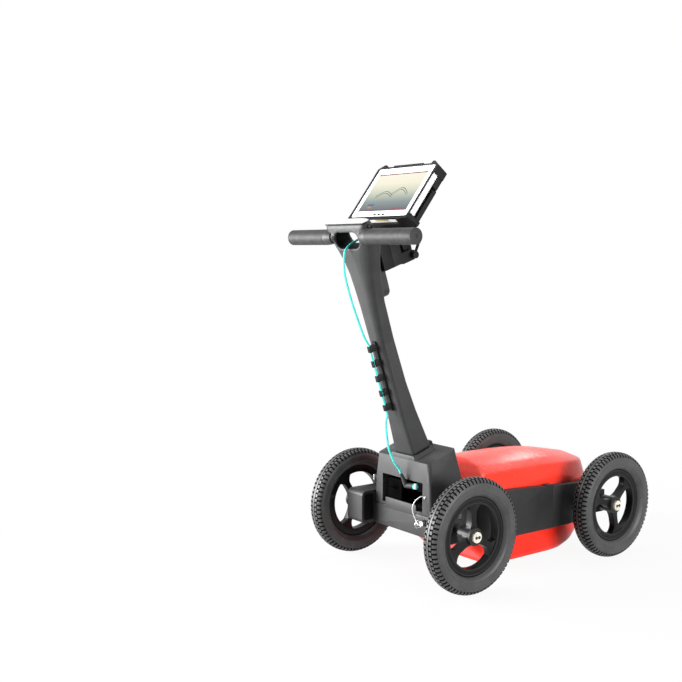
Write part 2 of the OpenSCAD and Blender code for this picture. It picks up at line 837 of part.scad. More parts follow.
// Upright block between beam and mast, with the battery bay open to the rear
module pylon() {
    low = [[beam_rear, beam_top], [pylon_low_front, beam_top]];
    mid = [[beam_rear, beam_top + pylon_mid_rise], [pylon_mid_front, beam_top + pylon_mid_rise]];
    top_rear = at_mast([pylon_top_rear, 0, -foot_gap]);
    top_front = at_mast([pylon_top_front, 0, -foot_gap]);
    top = [[top_rear[0], top_rear[2]], [top_front[0], top_front[2]]];
    color(black) difference() {
        union() {
            skin([block_ring(low, pylon_low_half), block_ring(mid, pylon_mid_half),
                block_ring(top, pylon_half)]);
            in_mast() for (s = [-1, 1]) {
                translate([hinge_a, 0, hinge_c])
                    along_y(knuckle_radius, s > 0 ? knuckle_half + slip : -knuckle_end,
                        s > 0 ? knuckle_end : -knuckle_half - slip);
                box([hinge_a - knuckle_radius, s > 0 ? knuckle_half + slip : -knuckle_end, -foot_gap - over],
                    [hinge_a + knuckle_radius, s > 0 ? knuckle_end : -knuckle_half - slip, hinge_c]);
            }
        }
        box([beam_rear - over, -bay_half, bay_bottom], [bay_front, bay_half, bay_top]);
        in_mast() translate([hinge_a, 0, hinge_c]) along_y(pin_radius, -pin_half, pin_half);
    }
}

// A rounded four-sided ring between a rear and a front [x, z]
function block_ring(ends, half) = let (
    rear = ends[0][0],
    front = ends[1][0],
    plan = concat(
        [for (i = [0:corner_steps]) let (t = quarter * i / corner_steps)
            [rear + pylon_edge * (1 - cos(t)), half - pylon_edge * (1 - sin(t))]],
        [for (i = [0:corner_steps]) let (t = quarter * i / corner_steps)
            [front - pylon_edge * (1 - sin(t)), half - pylon_edge * (1 - cos(t))]]))
    ring(plan, ends);

module hinge_pin() {
    color(steel) in_mast() translate([hinge_a, 0, hinge_c]) along_y(pin_radius, -pin_half, pin_half);
}

// Side view of the belt, as a slab across the cart
module belt_side() {
    drop = belt_slope * (belt_front - belt_rear);
    translate([0, belt_out + over, 0]) rotate([quarter, 0, 0]) linear_extrude((belt_out + over) * 2)
        polygon([[belt_rear, belt_low_rear], [belt_front + over, belt_low_front],
            [belt_front + over, belt_high_rear - drop], [belt_rear, belt_high_rear]]);
}

// Height of the belt's top edge at a place along the cart
function belt_high(x) = belt_high_rear - belt_slope * (x - belt_rear);

// A side rail with the tab that meets the rounded front of the belt
module rail(tail, y0, y1) {
    color(black) union() {
        intersection() {
            box([tail, y0, 0], [belt_seam, y1, belt_high_rear + over]);
            belt_side();
        }
        box([belt_seam - tab_length, y0, belt_high(belt_seam) - tab_drop],
            [belt_seam, y1, belt_high(belt_seam) + tab_height]);
    }
}

module rail_right() { rail(belt_rear, -belt_out, -belt_in); }
module rail_left() { rail(encoder_front, belt_in, belt_out); }

// Plan of the rounded front of the belt
function nose_edge(half, nose) = [for (i = [0:nose_steps]) let (t = quarter * i / nose_steps)
    [belt_seam + (nose - belt_seam) * pow(sin(t), nose_power_share), half * pow(cos(t), nose_power_share)]];

module nose_area(half, nose) {
    for (s = [-1, 1])
        polygon(concat([[belt_seam, 0]], nose_edge(s * half, nose)));
}

module front_belt() {
    color(black) union() {
        intersection() {
            linear_extrude(belt_high_rear + over) difference() {
                nose_area(belt_out, belt_front);
                nose_area(belt_in, belt_front - band_front_wall);
            }
            belt_side();
        }
        for (s = [-1, 1]) front_bracket(s);
    }
}

// Block that carries one front stub axle
module front_bracket(s) {
    difference() {
        box([front_x - bracket_x, s > 0 ? bracket_y[0] : -bracket_y[1], axle_z - bracket_z],
            [front_x + bracket_x, s > 0 ? bracket_y[1] : -bracket_y[0], axle_z + bracket_z]);
        translate([front_x, 0, axle_z])
            along_y(axle_radius, s > 0 ? bracket_y[0] + belt_wall : -bracket_y[1] - over,
                s > 0 ? bracket_y[1] + over : -bracket_y[0] - belt_wall);
    }
}

// Lower antenna shell, an open tub with a raised nose
module antenna_tub() {
    tall = tub_top - ground_clearance;
    levels = [for (share = tub_level_shares) ground_clearance + tall * share];
    outer = [for (i = [0:len(levels) - 1]) tub_ring(i, 0, levels[i])];
    inner = [for (i = [len(levels) - 1:-1:0])
        tub_ring(i, shell_wall, i == 0 ? levels[0] + shell_wall : levels[i])];
    color(red) difference() {
        union() {
            skin(concat(outer, inner));
            box([beam_front + slip, lug_y - lug_half, lug_z - lug_tall * half_share],
                [tub_rear + shell_wall * half_share, lug_y + lug_half, lug_z + lug_tall * half_share]);
        }
        translate([beam_front - over, lug_y, lug_z]) rotate([0, quarter, 0])
            cylinder(r = lock_radius + run, h = tub_rear - beam_front + over * half_share, $fn = fine);
    }
}

function tub_ring(i, wall, z) = ring(half_plan(tub_half * (1 - tub_inset_shares[i]) - wall,
    tub_rear + tub_half * tub_tail_shares[i] + wall, shell_turn,
    tub_front - nose_length * tub_nose_shares[i] - wall, tub_corner), [[tub_rear, z], [tub_front, z]]);

// Upper antenna shell with two creases along each side
module antenna_cover() {
    outer = [for (i = [0:len(cover_inset_shares) - 1]) cover_ring(i, 0)];
    inner = [for (i = [len(cover_inset_shares) - 1:-1:0]) cover_ring(i, shell_wall)];
    color(red) skin(concat(inner, outer));
}

function cover_ring(i, wall) = let (
    base = tub_top - (i == 0 ? 0 : wall))
    ring(half_plan(shell_half * (1 - cover_inset_shares[i]) - wall,
        cover_rear + cover_long * cover_tail_shares[i] + wall, shell_turn,
        cover_front - cover_long * cover_nose_shares[i] - wall, tub_corner * (1 - cover_inset_shares[i])),
        [[cover_rear, base + cover_tail_rise_shares[i] * cover_rise],
        [cover_rear + cover_long * cover_mid_share, base + cover_mid_rise_shares[i] * cover_rise],
        [cover_rear + cover_long * cover_late_share, base + cover_late_rise_shares[i] * cover_rise],
        [cover_front, base + cover_nose_rise_shares[i] * cover_rise]]);

// A bow tie plate lying on the tub's floor
module bowtie(x) {
    color(copper) translate([x, 0, ground_clearance + shell_wall]) linear_extrude(plate_thick)
        scale(half_share) polygon([[-bowtie_deep, -bowtie_span], [bowtie_deep, -bowtie_span],
            [bowtie_waist, 0], [bowtie_deep, bowtie_span], [-bowtie_deep, bowtie_span], [-bowtie_waist, 0]]);
}

module transmit_plate() { bowtie(transmit_x); }
module receive_plate() { bowtie(receive_x); }

// Radar board on posts above the plates
module control_board() {
    floor_z = ground_clearance + shell_wall;
    board_z = floor_z + board_rise;
    board_long = board_x[1] - board_x[0];
    color(green) union() {
        box([board_x[0], -board_half, board_z], [board_x[1], board_half, board_z + board_thick]);
        for (c = chip_shares)
            translate([board_x[0] + board_long * c[0], board_half * c[1], board_z])
                box([-chip_half, -chip_half, 0], [chip_half, chip_half, board_thick + chip_tall]);
        for (x = [board_x[0] + board_post_in, board_x[1] - board_post_in])
            for (y = [-board_half + board_post_in, board_half - board_post_in])
                translate([x, y, floor_z])
                    cylinder(r = board_post, h = board_z - floor_z + board_thick * half_share, $fn = fine);
    }
}

module battery() {
    color(dark) union() {
        translate([0, 0, bay_bottom]) linear_extrude(battery_z)
            round_area([battery_x[0], battery_y[0]], [battery_x[1], battery_y[1]], battery_round);
        translate([battery_x[0], (battery_y[0] + battery_y[1]) * half_share, bay_bottom])
            translate([0, 0, battery_z * half_share])
                box([-tab_out, -tab_wide * half_share, 0], [over, tab_wide * half_share, tab_thick]);
    }
}

// Sloped connector block on the bay's floor
module socket_block() {
    color(dark) difference() {
        translate([0, socket_y[1], 0]) rotate([quarter, 0, 0]) linear_extrude(socket_y[1] - socket_y[0])
            polygon([[socket_rear, bay_bottom], [socket_front, bay_bottom],
                [socket_front, bay_bottom + socket_high], [socket_high_x, bay_bottom + socket_high],
                [socket_rear, bay_bottom + socket_low_lip]]);
        translate([plug_x, plug_y, plug_z]) rotate([0, quarter + plug_drop, 0])
            cylinder(r = plug_radius, h = plug_length * half_share, $fn = fine);
    }
}

module cable_plug() {
    color(steel) translate([plug_x, plug_y, plug_z]) rotate([0, -quarter + plug_drop, 0]) {
        translate([0, 0, -plug_length * half_share]) cylinder(r = plug_radius, h = plug_length, $fn = fine);
        translate([0, 0, plug_length * half_share])
            cylinder(r1 = plug_radius, r2 = boot_tip, h = boot_length - plug_length * half_share, $fn = fine);
    }
}

// Rounded box for the wheel encoder, with a bore for the turning sleeve
module encoder_housing() {
    color(black) difference() {
        translate([0, encoder_out, 0]) rotate([quarter, 0, 0]) linear_extrude(encoder_out - beam_left)
            round_area([encoder_rear, encoder_low], [encoder_front, encoder_high], encoder_round);
        translate([0, encoder_out - encoder_wall, 0]) rotate([quarter, 0, 0])
            linear_extrude(encoder_out - beam_left - encoder_wall * 2)
                round_area([encoder_rear + encoder_wall, encoder_low + encoder_wall],
                    [encoder_front - encoder_wall, encoder_high - encoder_wall],
                    encoder_round - encoder_wall);
        translate([rear_x, 0, axle_z]) {
            along_y(sleeve_radius + slip, encoder_out - encoder_wall - over, encoder_out + over);
            along_y(axle_radius, beam_left - over, beam_left + encoder_wall + over);
        }
    }
}

// Fork sensor on the housing's rear wall, with the disc's rim in its slot
module encoder_sensor() {
    middle = disc_y + disc_depth * half_share;
    color(dark) translate([encoder_rear + encoder_wall, middle, axle_z]) difference() {
        box([0, -sensor_half, -sensor_tall], [sensor_deep, sensor_half, sensor_tall]);
        box([sensor_back, -sensor_slot, -sensor_tall - over],
            [sensor_deep + over, sensor_slot, sensor_tall + over]);
    }
}

// Quick release pin with a pull ring
module lock_pin() {
    color(steel) translate([lock_head, lug_y, lug_z]) rotate([0, quarter, 0]) union() {
        cylinder(r = lock_radius, h = lock_length, $fn = fine);
        translate([0, 0, -lock_head_radius])
            cylinder(r = lock_head_radius, h = lock_head_radius + over, $fn = fine);
        translate([0, 0, -lock_head_radius - ring_radius + ring_round]) rotate([quarter, 0, 0])
            rotate_extrude() translate([ring_radius, 0]) circle(r = ring_round, $fn = fine);
    }
}

// Coated wire from an eyelet on the pylon to the pin's ring
module pin_lanyard() {
    start = [beam_rear - eye_depth, eye_y, eye_z];
    path = concat([start + [over, 0, 0]], [for (p = lanyard_points) [beam_rear, eye_y, eye_z] + p]);
    color(pale) union() {
        cord(smooth(path, 3), wire_radius, wire_sides);
        translate([beam_rear - eye_depth, eye_y, eye_z]) rotate([0, quarter, 0])
            cylinder(r = eye_radius, h = eye_depth, $fn = fine);
    }
}

// Data cable from the plug to the lowest clip
module cable_lower() {
    dir = [-cos(plug_drop), 0, sin(plug_drop)];
    plug_end = [plug_x, plug_y, plug_z] + dir * (boot_length + slip);
    path = concat([plug_end + dir * boot_tip, plug_end + dir * boot_run],
        [for (p = lower_points) at_mast(p)],
        [at_mast([cable_a - over, 0, rail_c[0] - clip_height]),
        at_mast([cable_a, 0, rail_c[0] + clip_height * half_share])]);
    color(teal) cord(concat([plug_end], smooth(path, 4)), cable_radius, cable_sides);
}

// Data cable up the mast, through the head's hole and down into the tilt arm
module cable_upper() {
    low = [cable_a, 0, rail_c[0] + clip_height * half_share + slip];
    high = [cable_a, 0, rail_c[1] - clip_height * half_share];
    rise = [for (i = [0:len(rise_points) - 1]) [rise_points[i], 0, mast_length * rise_shares[i]]];
    path = concat([high], rise, [for (p = hole_points) [0, 0, hole_c] + p],
        [[arm_socket_a, 0, arm_c[1] - over]]);
    color(teal) in_mast() cord(concat([low], smooth(path, 3)), cable_radius, cable_sides);
}

// Where the handle ends on one side
function handle_end(s) = s > 0 ? handle_half - left_trim : handle_half;

// Moulded mast: a tapered column that flares into the handle's head
module mast() {
    rings = [for (i = [0:len(station_shares) - 1])
        mast_ring(mast_depth * station_rear_shares[i], mast_depth * station_front_shares[i],
            mast_waist_half + (mast_foot_half - mast_waist_half) * station_foot_shares[i]
                + (head_half - mast_waist_half) * station_head_shares[i],
            mast_edge + (wing_deep - mast_edge) * station_wing_shares[i],
            mast_edge + (wing_wide - mast_edge) * station_wing_shares[i],
            mast_length * station_shares[i])];
    color(black) in_mast() difference() {
        union() {
            skin(rings);
            box([foot_plug_a[0], -foot_plug_half, foot_plug_low], [foot_plug_a[1], foot_plug_half, over]);
            translate([hinge_a, 0, hinge_c]) along_y(knuckle_radius, -knuckle_half, knuckle_half);
            box([web_a, -knuckle_half, web_low], [hinge_a, knuckle_half, web_high]);
            mast_pad();
            translate([handle_a, 0, handle_c]) {
                along_y(spigot_radius, spigot_in, handle_end(1) - end_cap_depth);
                along_y(spigot_radius, end_cap_depth - handle_end(-1), -spigot_in);
                for (s = [-1, 1]) translate([0, s * spigot_in, 0]) rotate([-s * quarter, 0, 0])
                    cylinder(r1 = stub_tip, r2 = grip_radius, h = grip_start - spigot_in);
            }
        }
        translate([hinge_a, 0, hinge_c]) along_y(pin_radius + run, -knuckle_half - over, knuckle_half + over);
        translate([-head_depth, 0, hole_c]) rotate([quarter, 0, quarter]) linear_extrude(head_depth * 2)
            head_hole();
    }
}

// Pad on the mast's front that carries the tilt arm, with a round lobe below the arm
module mast_pad() {
    translate([pad_a[0], 0, 0]) rotate([quarter, 0, quarter]) {
        linear_extrude(pad_a[1] - pad_a[0])
            translate([-pad_half, pad_c[0]]) square([pad_half * 2, pad_c[1] - pad_c[0]]);
        linear_extrude(lobe_a - pad_a[0]) {
            translate([-pad_half, pad_c[0]]) square([pad_half * 2, arm_c[0] - slip - pad_c[0]]);
            translate([0, pad_c[0]]) circle(r = pad_round, $fn = fine);
        }
    }
}

module head_hole() {
    straight = head_hole_width - head_hole_height;
    square([straight, head_hole_height], center = true);
    for (s = [-1, 1]) translate([s * straight * half_share, 0])
        circle(r = head_hole_height * half_share, $fn = fine);
}

module head_plate() {
    color(pale) in_mast() union() {
        translate([0, 0, mast_length])
            round_plate([plate_a[0], -plate_half], [plate_a[1], plate_half], plate_edge, 0, plate_depth);
        for (s = [-1, 1]) translate([plate_screw_a, s * plate_screw_y, mast_length + plate_depth])
            cylinder(r = plate_screw_radius, h = plate_screw_tall, $fn = fine);
    }
}

module head_knob() {
    color(dark) in_mast() translate([knob_a, 0, knob_c])
        along_y(knob_radius, -head_half - knob_length, -head_half);
}

// Hand grip over a spigot of the mast
module grip(s) {
    color(black) in_mast() translate([handle_a, 0, handle_c]) difference() {
        along_y(grip_radius, s > 0 ? grip_start : end_cap_depth - handle_end(s),
            s > 0 ? handle_end(s) - end_cap_depth : -grip_start, $fn);
        along_y(spigot_radius, s > 0 ? grip_start - over : -handle_end(s),
            s > 0 ? handle_end(s) : -grip_start + over, $fn);
    }
}

module grip_right() { grip(-1); }
module grip_left() { grip(1); }

module end_cap(s) {
    color(dark) in_mast() translate([handle_a, 0, handle_c]) difference() {
        along_y(grip_radius, s > 0 ? handle_end(s) - end_cap_depth : -handle_end(s),
            s > 0 ? handle_end(s) : end_cap_depth - handle_end(s), $fn);
        along_y(cap_screw_radius, s > 0 ? handle_end(s) - cap_screw_depth : -handle_end(s) - over,
            s > 0 ? handle_end(s) + over : cap_screw_depth - handle_end(s));
    }
}

module end_cap_right() { end_cap(-1); }
module end_cap_left() { end_cap(1); }

// Rail on the mast with cable clips that open to alternate sides
module cable_rail() {
    color(dark) in_mast() union() {
        box([-rail_depth, -rail_half, rail_c[0]], [0, rail_half, rail_c[1]]);
        for (i = [0:clip_count - 1]) {
            span = rail_c[1] - rail_c[0] - clip_pitch_in * 2;
            side = i % 2 == 0 ? 1 : -1;
            cut = clip_height + over;
            translate([0, 0, rail_c[0] + clip_pitch_in + span * i / (clip_count - 1)]) difference() {
                box([-clip_reach, -clip_half, -clip_height],
                    [-rail_depth + clip_sink, clip_half, clip_height]);
                translate([cable_a, 0, -cut]) cylinder(r = cable_radius + slip, h = cut * 2, $fn = fine);
                box([cable_a - clip_slot * half_share, side > 0 ? 0 : -clip_half - over, -cut],
                    [cable_a + clip_slot * half_share, side > 0 ? clip_half + over : 0, cut]);
            }
        }
    }
}

// Arm that holds the tablet's tilt joint between two ears
module tilt_arm() {
    color(black) in_mast() difference() {
        union() {
            box([arm_a[0], -arm_half, arm_c[0]], [arm_a[1], arm_half, arm_c[1]]);
            box([arm_a[1] - over, -arm_half, nose_low], [tilt_a, arm_half, nose_high]);
            translate([tilt_a, 0, tilt_c]) along_y(tilt_round, -arm_half, arm_half);
        }
        box([slot_a, -ear_in, nose_low - over], [tilt_a + tilt_round + over, ear_in, nose_high + over]);
        translate([tilt_a, 0, tilt_c]) along_y(stud_radius + run, -arm_half - over, arm_half + over);
        for (s = [-1, 1])
            box([arm_seam_a, s > 0 ? arm_half - arm_seam : -arm_half - over, arm_c[0] - over],
                [arm_seam_a + arm_seam, s > 0 ? arm_half + over : -arm_half + arm_seam, arm_c[1] + over]);
        translate([arm_socket_a, 0, arm_c[1] - over * 3])
            cylinder(r = cable_radius, h = over * 4, $fn = fine);
    }
}

// Clamp lever whose stud is the tilt axis
module tilt_lever() {
    color(dark) in_mast() translate([tilt_a, 0, tilt_c]) union() {
        along_y(stud_radius, -arm_half - over, arm_half + nut_out);
        along_y(lever_hub, -arm_half - lever_wide, -arm_half - slip);
        along_y(lever_hub - over, arm_half + slip, arm_half + nut_out, nut_sides);
        translate([0, -arm_half - lever_y, 0]) rotate([0, lever_tilt + lean, 0]) {
            cylinder(r = lever_round, h = lever_length, $fn = fine);
            translate([0, 0, lever_length]) sphere(r = lever_ball, $fn = fine);
        }
    }
}

// Ribbed dock behind the tablet, with hooks under its corners and a neck to the tilt axis
module dock() {
    back = -dock_back;
    pivot = tilt_point;
    neck_a = at_tablet([neck_v[0], 0, back + neck_sink]);
    neck_b = at_tablet([neck_v[1], 0, back + neck_sink]);
    reach = unit([neck_a[0] + neck_b[0], 0, neck_a[2] + neck_b[2]] / 2 - pivot);
    across = [reach[2], 0, -reach[0]] * tilt_round;
    color(dark) difference() {
        union() {
            in_tablet() difference() {
                round_plate([dock_v[0], -dock_half], [dock_v[1], dock_half], dock_round,
                    back, back + dock_slab);
                for (i = [1:dock_rib_count]) for (s = [-1, 1])
                    translate([0, s * (neck_half + dock_rib_pitch * i), back])
                        box([dock_v[0] - over, -dock_rib_wide * half_share, -over],
                            [dock_v[1] + over, dock_rib_wide * half_share, dock_rib_deep]);
            }
            in_tablet() round_plate([dock_v[0], spacer_in - dock_half],
                [dock_v[1], dock_half - spacer_in], dock_round, back + dock_slab - over, -tablet_depth);
            in_tablet() box([-half_tall - ledge_depth, -ledge_half, back],
                [dock_v[0] + dock_round, ledge_half, -tablet_depth]);
            in_tablet() for (s = [-1, 1]) dock_hook(s);
            translate([0, neck_half, 0]) rotate([quarter, 0, 0]) linear_extrude(neck_half * 2)
                polygon([[pivot[0] - across[0], pivot[2] - across[2]], [neck_a[0], neck_a[2]],
                    [neck_b[0], neck_b[2]], [pivot[0] + across[0], pivot[2] + across[2]]]);
            translate([pivot[0], 0, pivot[2]]) along_y(tilt_round, -neck_half, neck_half);
        }
        translate([pivot[0], 0, pivot[2]]) along_y(stud_radius + run, -neck_half - over, neck_half + over);
    }
}

// Hook around one lower corner of the tablet, slanted across the corner
module dock_hook(s) {
    low = -half_tall - ledge_depth;
    edge = half_long + hook_out;
    difference() {
        translate([0, 0, -dock_back]) linear_extrude(dock_back + hook_front)
            polygon([[low, s * (half_long - hook_in)], [low, s * (half_long - hook_flat)],
                [-half_tall + hook_rise, s * edge], [-half_tall + hook_top, s * edge],
                [-half_tall + hook_top, s * (half_long - hook_in)]]);
        tablet_block(-tablet_depth, hook_front + over, slip * half_share);
        bump_rod(s, slip * half_share);
    }
}

// The tablet's outline between two depths, grown by a gap
module tablet_block(low, high, gap) {
    round_plate([-half_tall - gap, -half_long - gap], [half_tall + gap, half_long + gap],
        tablet_round + gap, low, high);
}

// Round rubber bump on one lower corner, before the tablet is cut from it
module bump_rod(s, gap) {
    translate([-half_tall + bump_in, s * (half_long - bump_in), -tablet_depth])
        cylinder(r = bump_radius + gap, h = tablet_depth + guard_front, $fn = fine);
}

module tablet_shell() {
    color(pale) in_tablet() tablet_block(-tablet_depth, -bezel_depth, 0);
}

module tablet_bezel() {
    color(pale) in_tablet() difference() {
        tablet_block(-bezel_depth, 0, -frame_wide);
        box([-screen_half_tall, -screen_half_long, -bezel_depth - over],
            [screen_half_tall, screen_half_long, over]);
        for (k = [-1, 0, 1])
            translate([button_v, k * button_pitch, 0])
                button_block(-bezel_depth - over, over, slip);
    }
}

module tablet_screen() {
    color(green) in_tablet() box([-screen_half_tall, -screen_half_long, -bezel_depth],
        [screen_half_tall, screen_half_long, -screen_sink]);
}

// Rubber frame around the bezel, with guards on the upper corners and bumps on the lower ones
module corner_guards() {
    color(dark) in_tablet() {
        difference() {
            tablet_block(-bezel_depth, guard_front, 0);
            tablet_block(-bezel_depth - over, guard_front + over, -frame_wide);
        }
        difference() {
            for (s = [-1, 1]) {
                translate([0, 0, -guard_deep]) linear_extrude(guard_deep + guard_front)
                    polygon([[half_tall - guard_low, s * (half_long + guard_wall)],
                        [half_tall - frame_wide, s * (half_long + guard_wall)],
                        [half_tall + guard_tall, s * (half_long - guard_peak)],
                        [half_tall + guard_tall, s * (half_long - guard_crest)],
                        [half_tall - frame_wide * half_share, s * (half_long - guard_wide)],
                        [half_tall - guard_low, s * (half_long - guard_wide)]]);
                bump_rod(s, 0);
            }
            tablet_block(-tablet_depth, -bezel_depth, 0);
            tablet_block(-bezel_depth, guard_front + over, -frame_wide);
        }
    }
}

// A button's block between two depths, grown by a gap on every side
module button_block(low, high, gap) {
    long = button_length * half_share + gap;
    tall = button_height * half_share + gap;
    box([-tall, -long, low], [tall, long, high]);
}

// One key, clear of the shell below it by its travel
module button(k) {
    color(dark) in_tablet() translate([button_v, k * button_pitch, 0])
        button_block(-bezel_depth + button_travel + run, button_stand, 0);
}

module button_left() { button(1); }
module button_middle() { button(0); }
module button_right() { button(-1); }

rear_beam();
pylon();
rail_right();
rail_left();
front_belt();
rear_axle_right();
rear_axle_left();
front_axle_right();
front_axle_left();
antenna_tub();
antenna_cover();
transmit_plate();
receive_plate();
control_board();
battery();
socket_block();
encoder_housing();
encoder_sensor();
hinge_pin();
pin_lanyard();
cable_lower();
cable_plug();
mast();
head_plate();
head_knob();
grip_right();
grip_left();
end_cap_right();
end_cap_left();
cable_rail();
cable_upper();
tilt_arm();
dock();
tablet_shell();
tablet_bezel();
tablet_screen();
corner_guards();
button_left();
button_middle();
button_right();
tilt_lever();
lock_pin();
tyre_rear_right();
tyre_rear_left();
tyre_front_right();
tyre_front_left();
rim_rear_right();
rim_rear_left();
rim_front_right();
rim_front_left();
bearings_rear_right();
bearings_rear_left();
bearings_front_right();
bearings_front_left();
hub_cap_rear_right();
hub_cap_rear_left();
hub_cap_front_right();
hub_cap_front_left();
encoder_disc();
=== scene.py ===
"""Looks of a four-wheeled ground radar cart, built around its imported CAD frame.

Lengths are millimetres where nothing else is said: +X forward, +Y left, +Z up.
"""
import json
import math

import bmesh
import bpy
import numpy as np
from mathutils import Matrix, Vector

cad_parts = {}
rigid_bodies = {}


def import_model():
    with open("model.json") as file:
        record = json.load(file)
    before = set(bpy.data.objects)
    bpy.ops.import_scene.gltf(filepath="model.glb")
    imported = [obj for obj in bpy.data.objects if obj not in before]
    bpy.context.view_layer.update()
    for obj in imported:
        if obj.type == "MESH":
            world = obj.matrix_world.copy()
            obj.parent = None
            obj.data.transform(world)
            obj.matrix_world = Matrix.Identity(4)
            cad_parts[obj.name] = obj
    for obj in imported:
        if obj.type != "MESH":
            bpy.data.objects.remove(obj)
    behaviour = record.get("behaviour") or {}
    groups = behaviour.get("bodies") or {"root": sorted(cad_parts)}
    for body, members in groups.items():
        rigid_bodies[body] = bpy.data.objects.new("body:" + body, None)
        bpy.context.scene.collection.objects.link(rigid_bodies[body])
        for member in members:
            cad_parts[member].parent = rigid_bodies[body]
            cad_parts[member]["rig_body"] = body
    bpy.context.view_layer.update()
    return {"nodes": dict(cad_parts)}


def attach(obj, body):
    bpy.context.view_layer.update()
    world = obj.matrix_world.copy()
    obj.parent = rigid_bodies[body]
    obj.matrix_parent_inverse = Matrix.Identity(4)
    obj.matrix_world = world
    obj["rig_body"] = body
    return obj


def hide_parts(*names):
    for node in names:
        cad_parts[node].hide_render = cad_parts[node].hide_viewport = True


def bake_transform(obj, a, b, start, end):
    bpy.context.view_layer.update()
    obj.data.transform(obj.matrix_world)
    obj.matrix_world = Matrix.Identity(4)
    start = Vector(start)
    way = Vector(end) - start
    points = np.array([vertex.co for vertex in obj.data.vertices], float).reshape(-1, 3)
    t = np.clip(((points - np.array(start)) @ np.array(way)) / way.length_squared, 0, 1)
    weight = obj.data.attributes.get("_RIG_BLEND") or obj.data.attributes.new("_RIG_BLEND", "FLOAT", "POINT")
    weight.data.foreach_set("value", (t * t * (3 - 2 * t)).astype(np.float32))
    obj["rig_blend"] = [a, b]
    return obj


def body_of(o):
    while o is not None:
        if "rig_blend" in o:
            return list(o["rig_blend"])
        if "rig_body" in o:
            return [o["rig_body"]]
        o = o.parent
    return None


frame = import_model()
NODES = frame["nodes"]
scene = bpy.context.scene
scene.view_settings.view_transform = "Standard"
MM = 0.001
SIDES = ((-1, "right"), (1, "left"))


def add_object(name, data):
    o = bpy.data.objects.new(name, data)
    scene.collection.objects.link(o)
    return o


# Camera: the photograph's own view, in metres and radians
IMAGE_PX, FOCAL_PX = 682, 1019.2
SENSOR, CLIP_END = 36.0, 60
EYE = Vector((-2.1634, -2.1706, 0.9147))
YAW, PITCH, ROLL = 0.918, -0.086, 0.007


def add_camera():
    data = bpy.data.cameras.new("photo_camera")
    data.sensor_fit = "HORIZONTAL"
    data.sensor_width = SENSOR
    data.lens = FOCAL_PX / IMAGE_PX * SENSOR
    data.clip_end = CLIP_END
    camera = add_object("photo_camera", data)
    flat = math.cos(PITCH)
    ahead = Vector((flat * math.cos(YAW), flat * math.sin(YAW), math.sin(PITCH)))
    right = Vector((math.sin(YAW), -math.cos(YAW), 0))
    up = right.cross(ahead)
    right_rolled = right * math.cos(ROLL) + up * math.sin(ROLL)
    up_rolled = up * math.cos(ROLL) - right * math.sin(ROLL)
    turn = Matrix((right_rolled, up_rolled, -ahead)).transposed()
    camera.matrix_world = Matrix.Translation(EYE) @ turn.to_4x4()
    scene.camera = camera


add_camera()

# Frames of the mast, the handle bar, the tablet and the wheels
LEAN = math.radians(19.1)
FOOT = Vector((-275.0, 0.0, 347.0))
SLOPE = math.radians(52.7)
SCREEN = Vector((-327.988, 0.0, 1084.637))
HANDLE_A, HANDLE_C = 4.8, 645.0
REAR_X, FRONT_X, WHEEL_Y, WHEEL_R = -251.0, 343.0, 252.0, 160.0


def tilted(origin, angle):
    """A frame at a point, its Z axis leaning back by an angle."""
    c, s = math.cos(angle), math.sin(angle)
    turn = Matrix(((c, 0, -s), (0, 1, 0), (s, 0, c)))
    return Matrix.Translation(origin) @ turn.to_4x4()


def outboard(side):
    """Turns local Z to point out to one side."""
    return Matrix.Rotation(-side * math.pi / 2, 4, "X")


def wheel_frame(x, side):
    return Matrix.Translation((x, side * WHEEL_Y, WHEEL_R)) @ outboard(side)


ROW = Matrix.Identity(4)
MAST = tilted(FOOT, LEAN)
TABLET = tilted(SCREEN, SLOPE)
WHEELS = {"rear_right": wheel_frame(REAR_X, -1), "rear_left": wheel_frame(REAR_X, 1),
          "front_right": wheel_frame(FRONT_X, -1), "front_left": wheel_frame(FRONT_X, 1)}


def handle_frame(side):
    """Local Z points out along the bar, away from the mast."""
    return MAST @ Matrix.Translation((HANDLE_A, 0, HANDLE_C)) @ outboard(side)


def facing(at, way):
    """A frame at a point with its Z axis along a direction."""
    return Matrix.Translation(at) @ way.to_track_quat("Z", "Y").to_matrix().to_4x4()


# Materials
BLOTCH_STOPS = (0.32, 0.68)
SMEAR_SCALE = 3.1
GRAIN_STRENGTH = 0.35
COOL = 1.02


def material(name):
    """A new material with the parts of its node tree."""
    m = bpy.data.materials.new(name)
    m.use_nodes = True
    nodes = m.node_tree.nodes
    return m, nodes, m.node_tree.links, nodes["Principled BSDF"]


def noise(nodes, links, scale, detail=4.0, rough=0.55):
    place = nodes.new("ShaderNodeTexCoord")
    tex = nodes.new("ShaderNodeTexNoise")
    tex.inputs["Scale"].default_value = scale
    tex.inputs["Detail"].default_value = detail
    tex.inputs["Roughness"].default_value = rough
    links.new(place.outputs["Object"], tex.inputs["Vector"])
    return tex


def ramp(nodes, links, source, stops):
    """A colour ramp through (place, colour) stops."""
    r = nodes.new("ShaderNodeValToRGB")
    while len(r.color_ramp.elements) < len(stops):
        r.color_ramp.elements.new(0.5)
    for e, (at, colour) in zip(r.color_ramp.elements, stops):
        e.position = at
        e.color = (*colour, 1)
    links.new(source, r.inputs["Fac"])
    return r


def spread(nodes, links, source, low, high):
    """Maps 0 to 1 onto a range."""
    r = nodes.new("ShaderNodeMapRange")
    r.inputs["To Min"].default_value = low
    r.inputs["To Max"].default_value = high
    links.new(source, r.inputs["Value"])
    return r


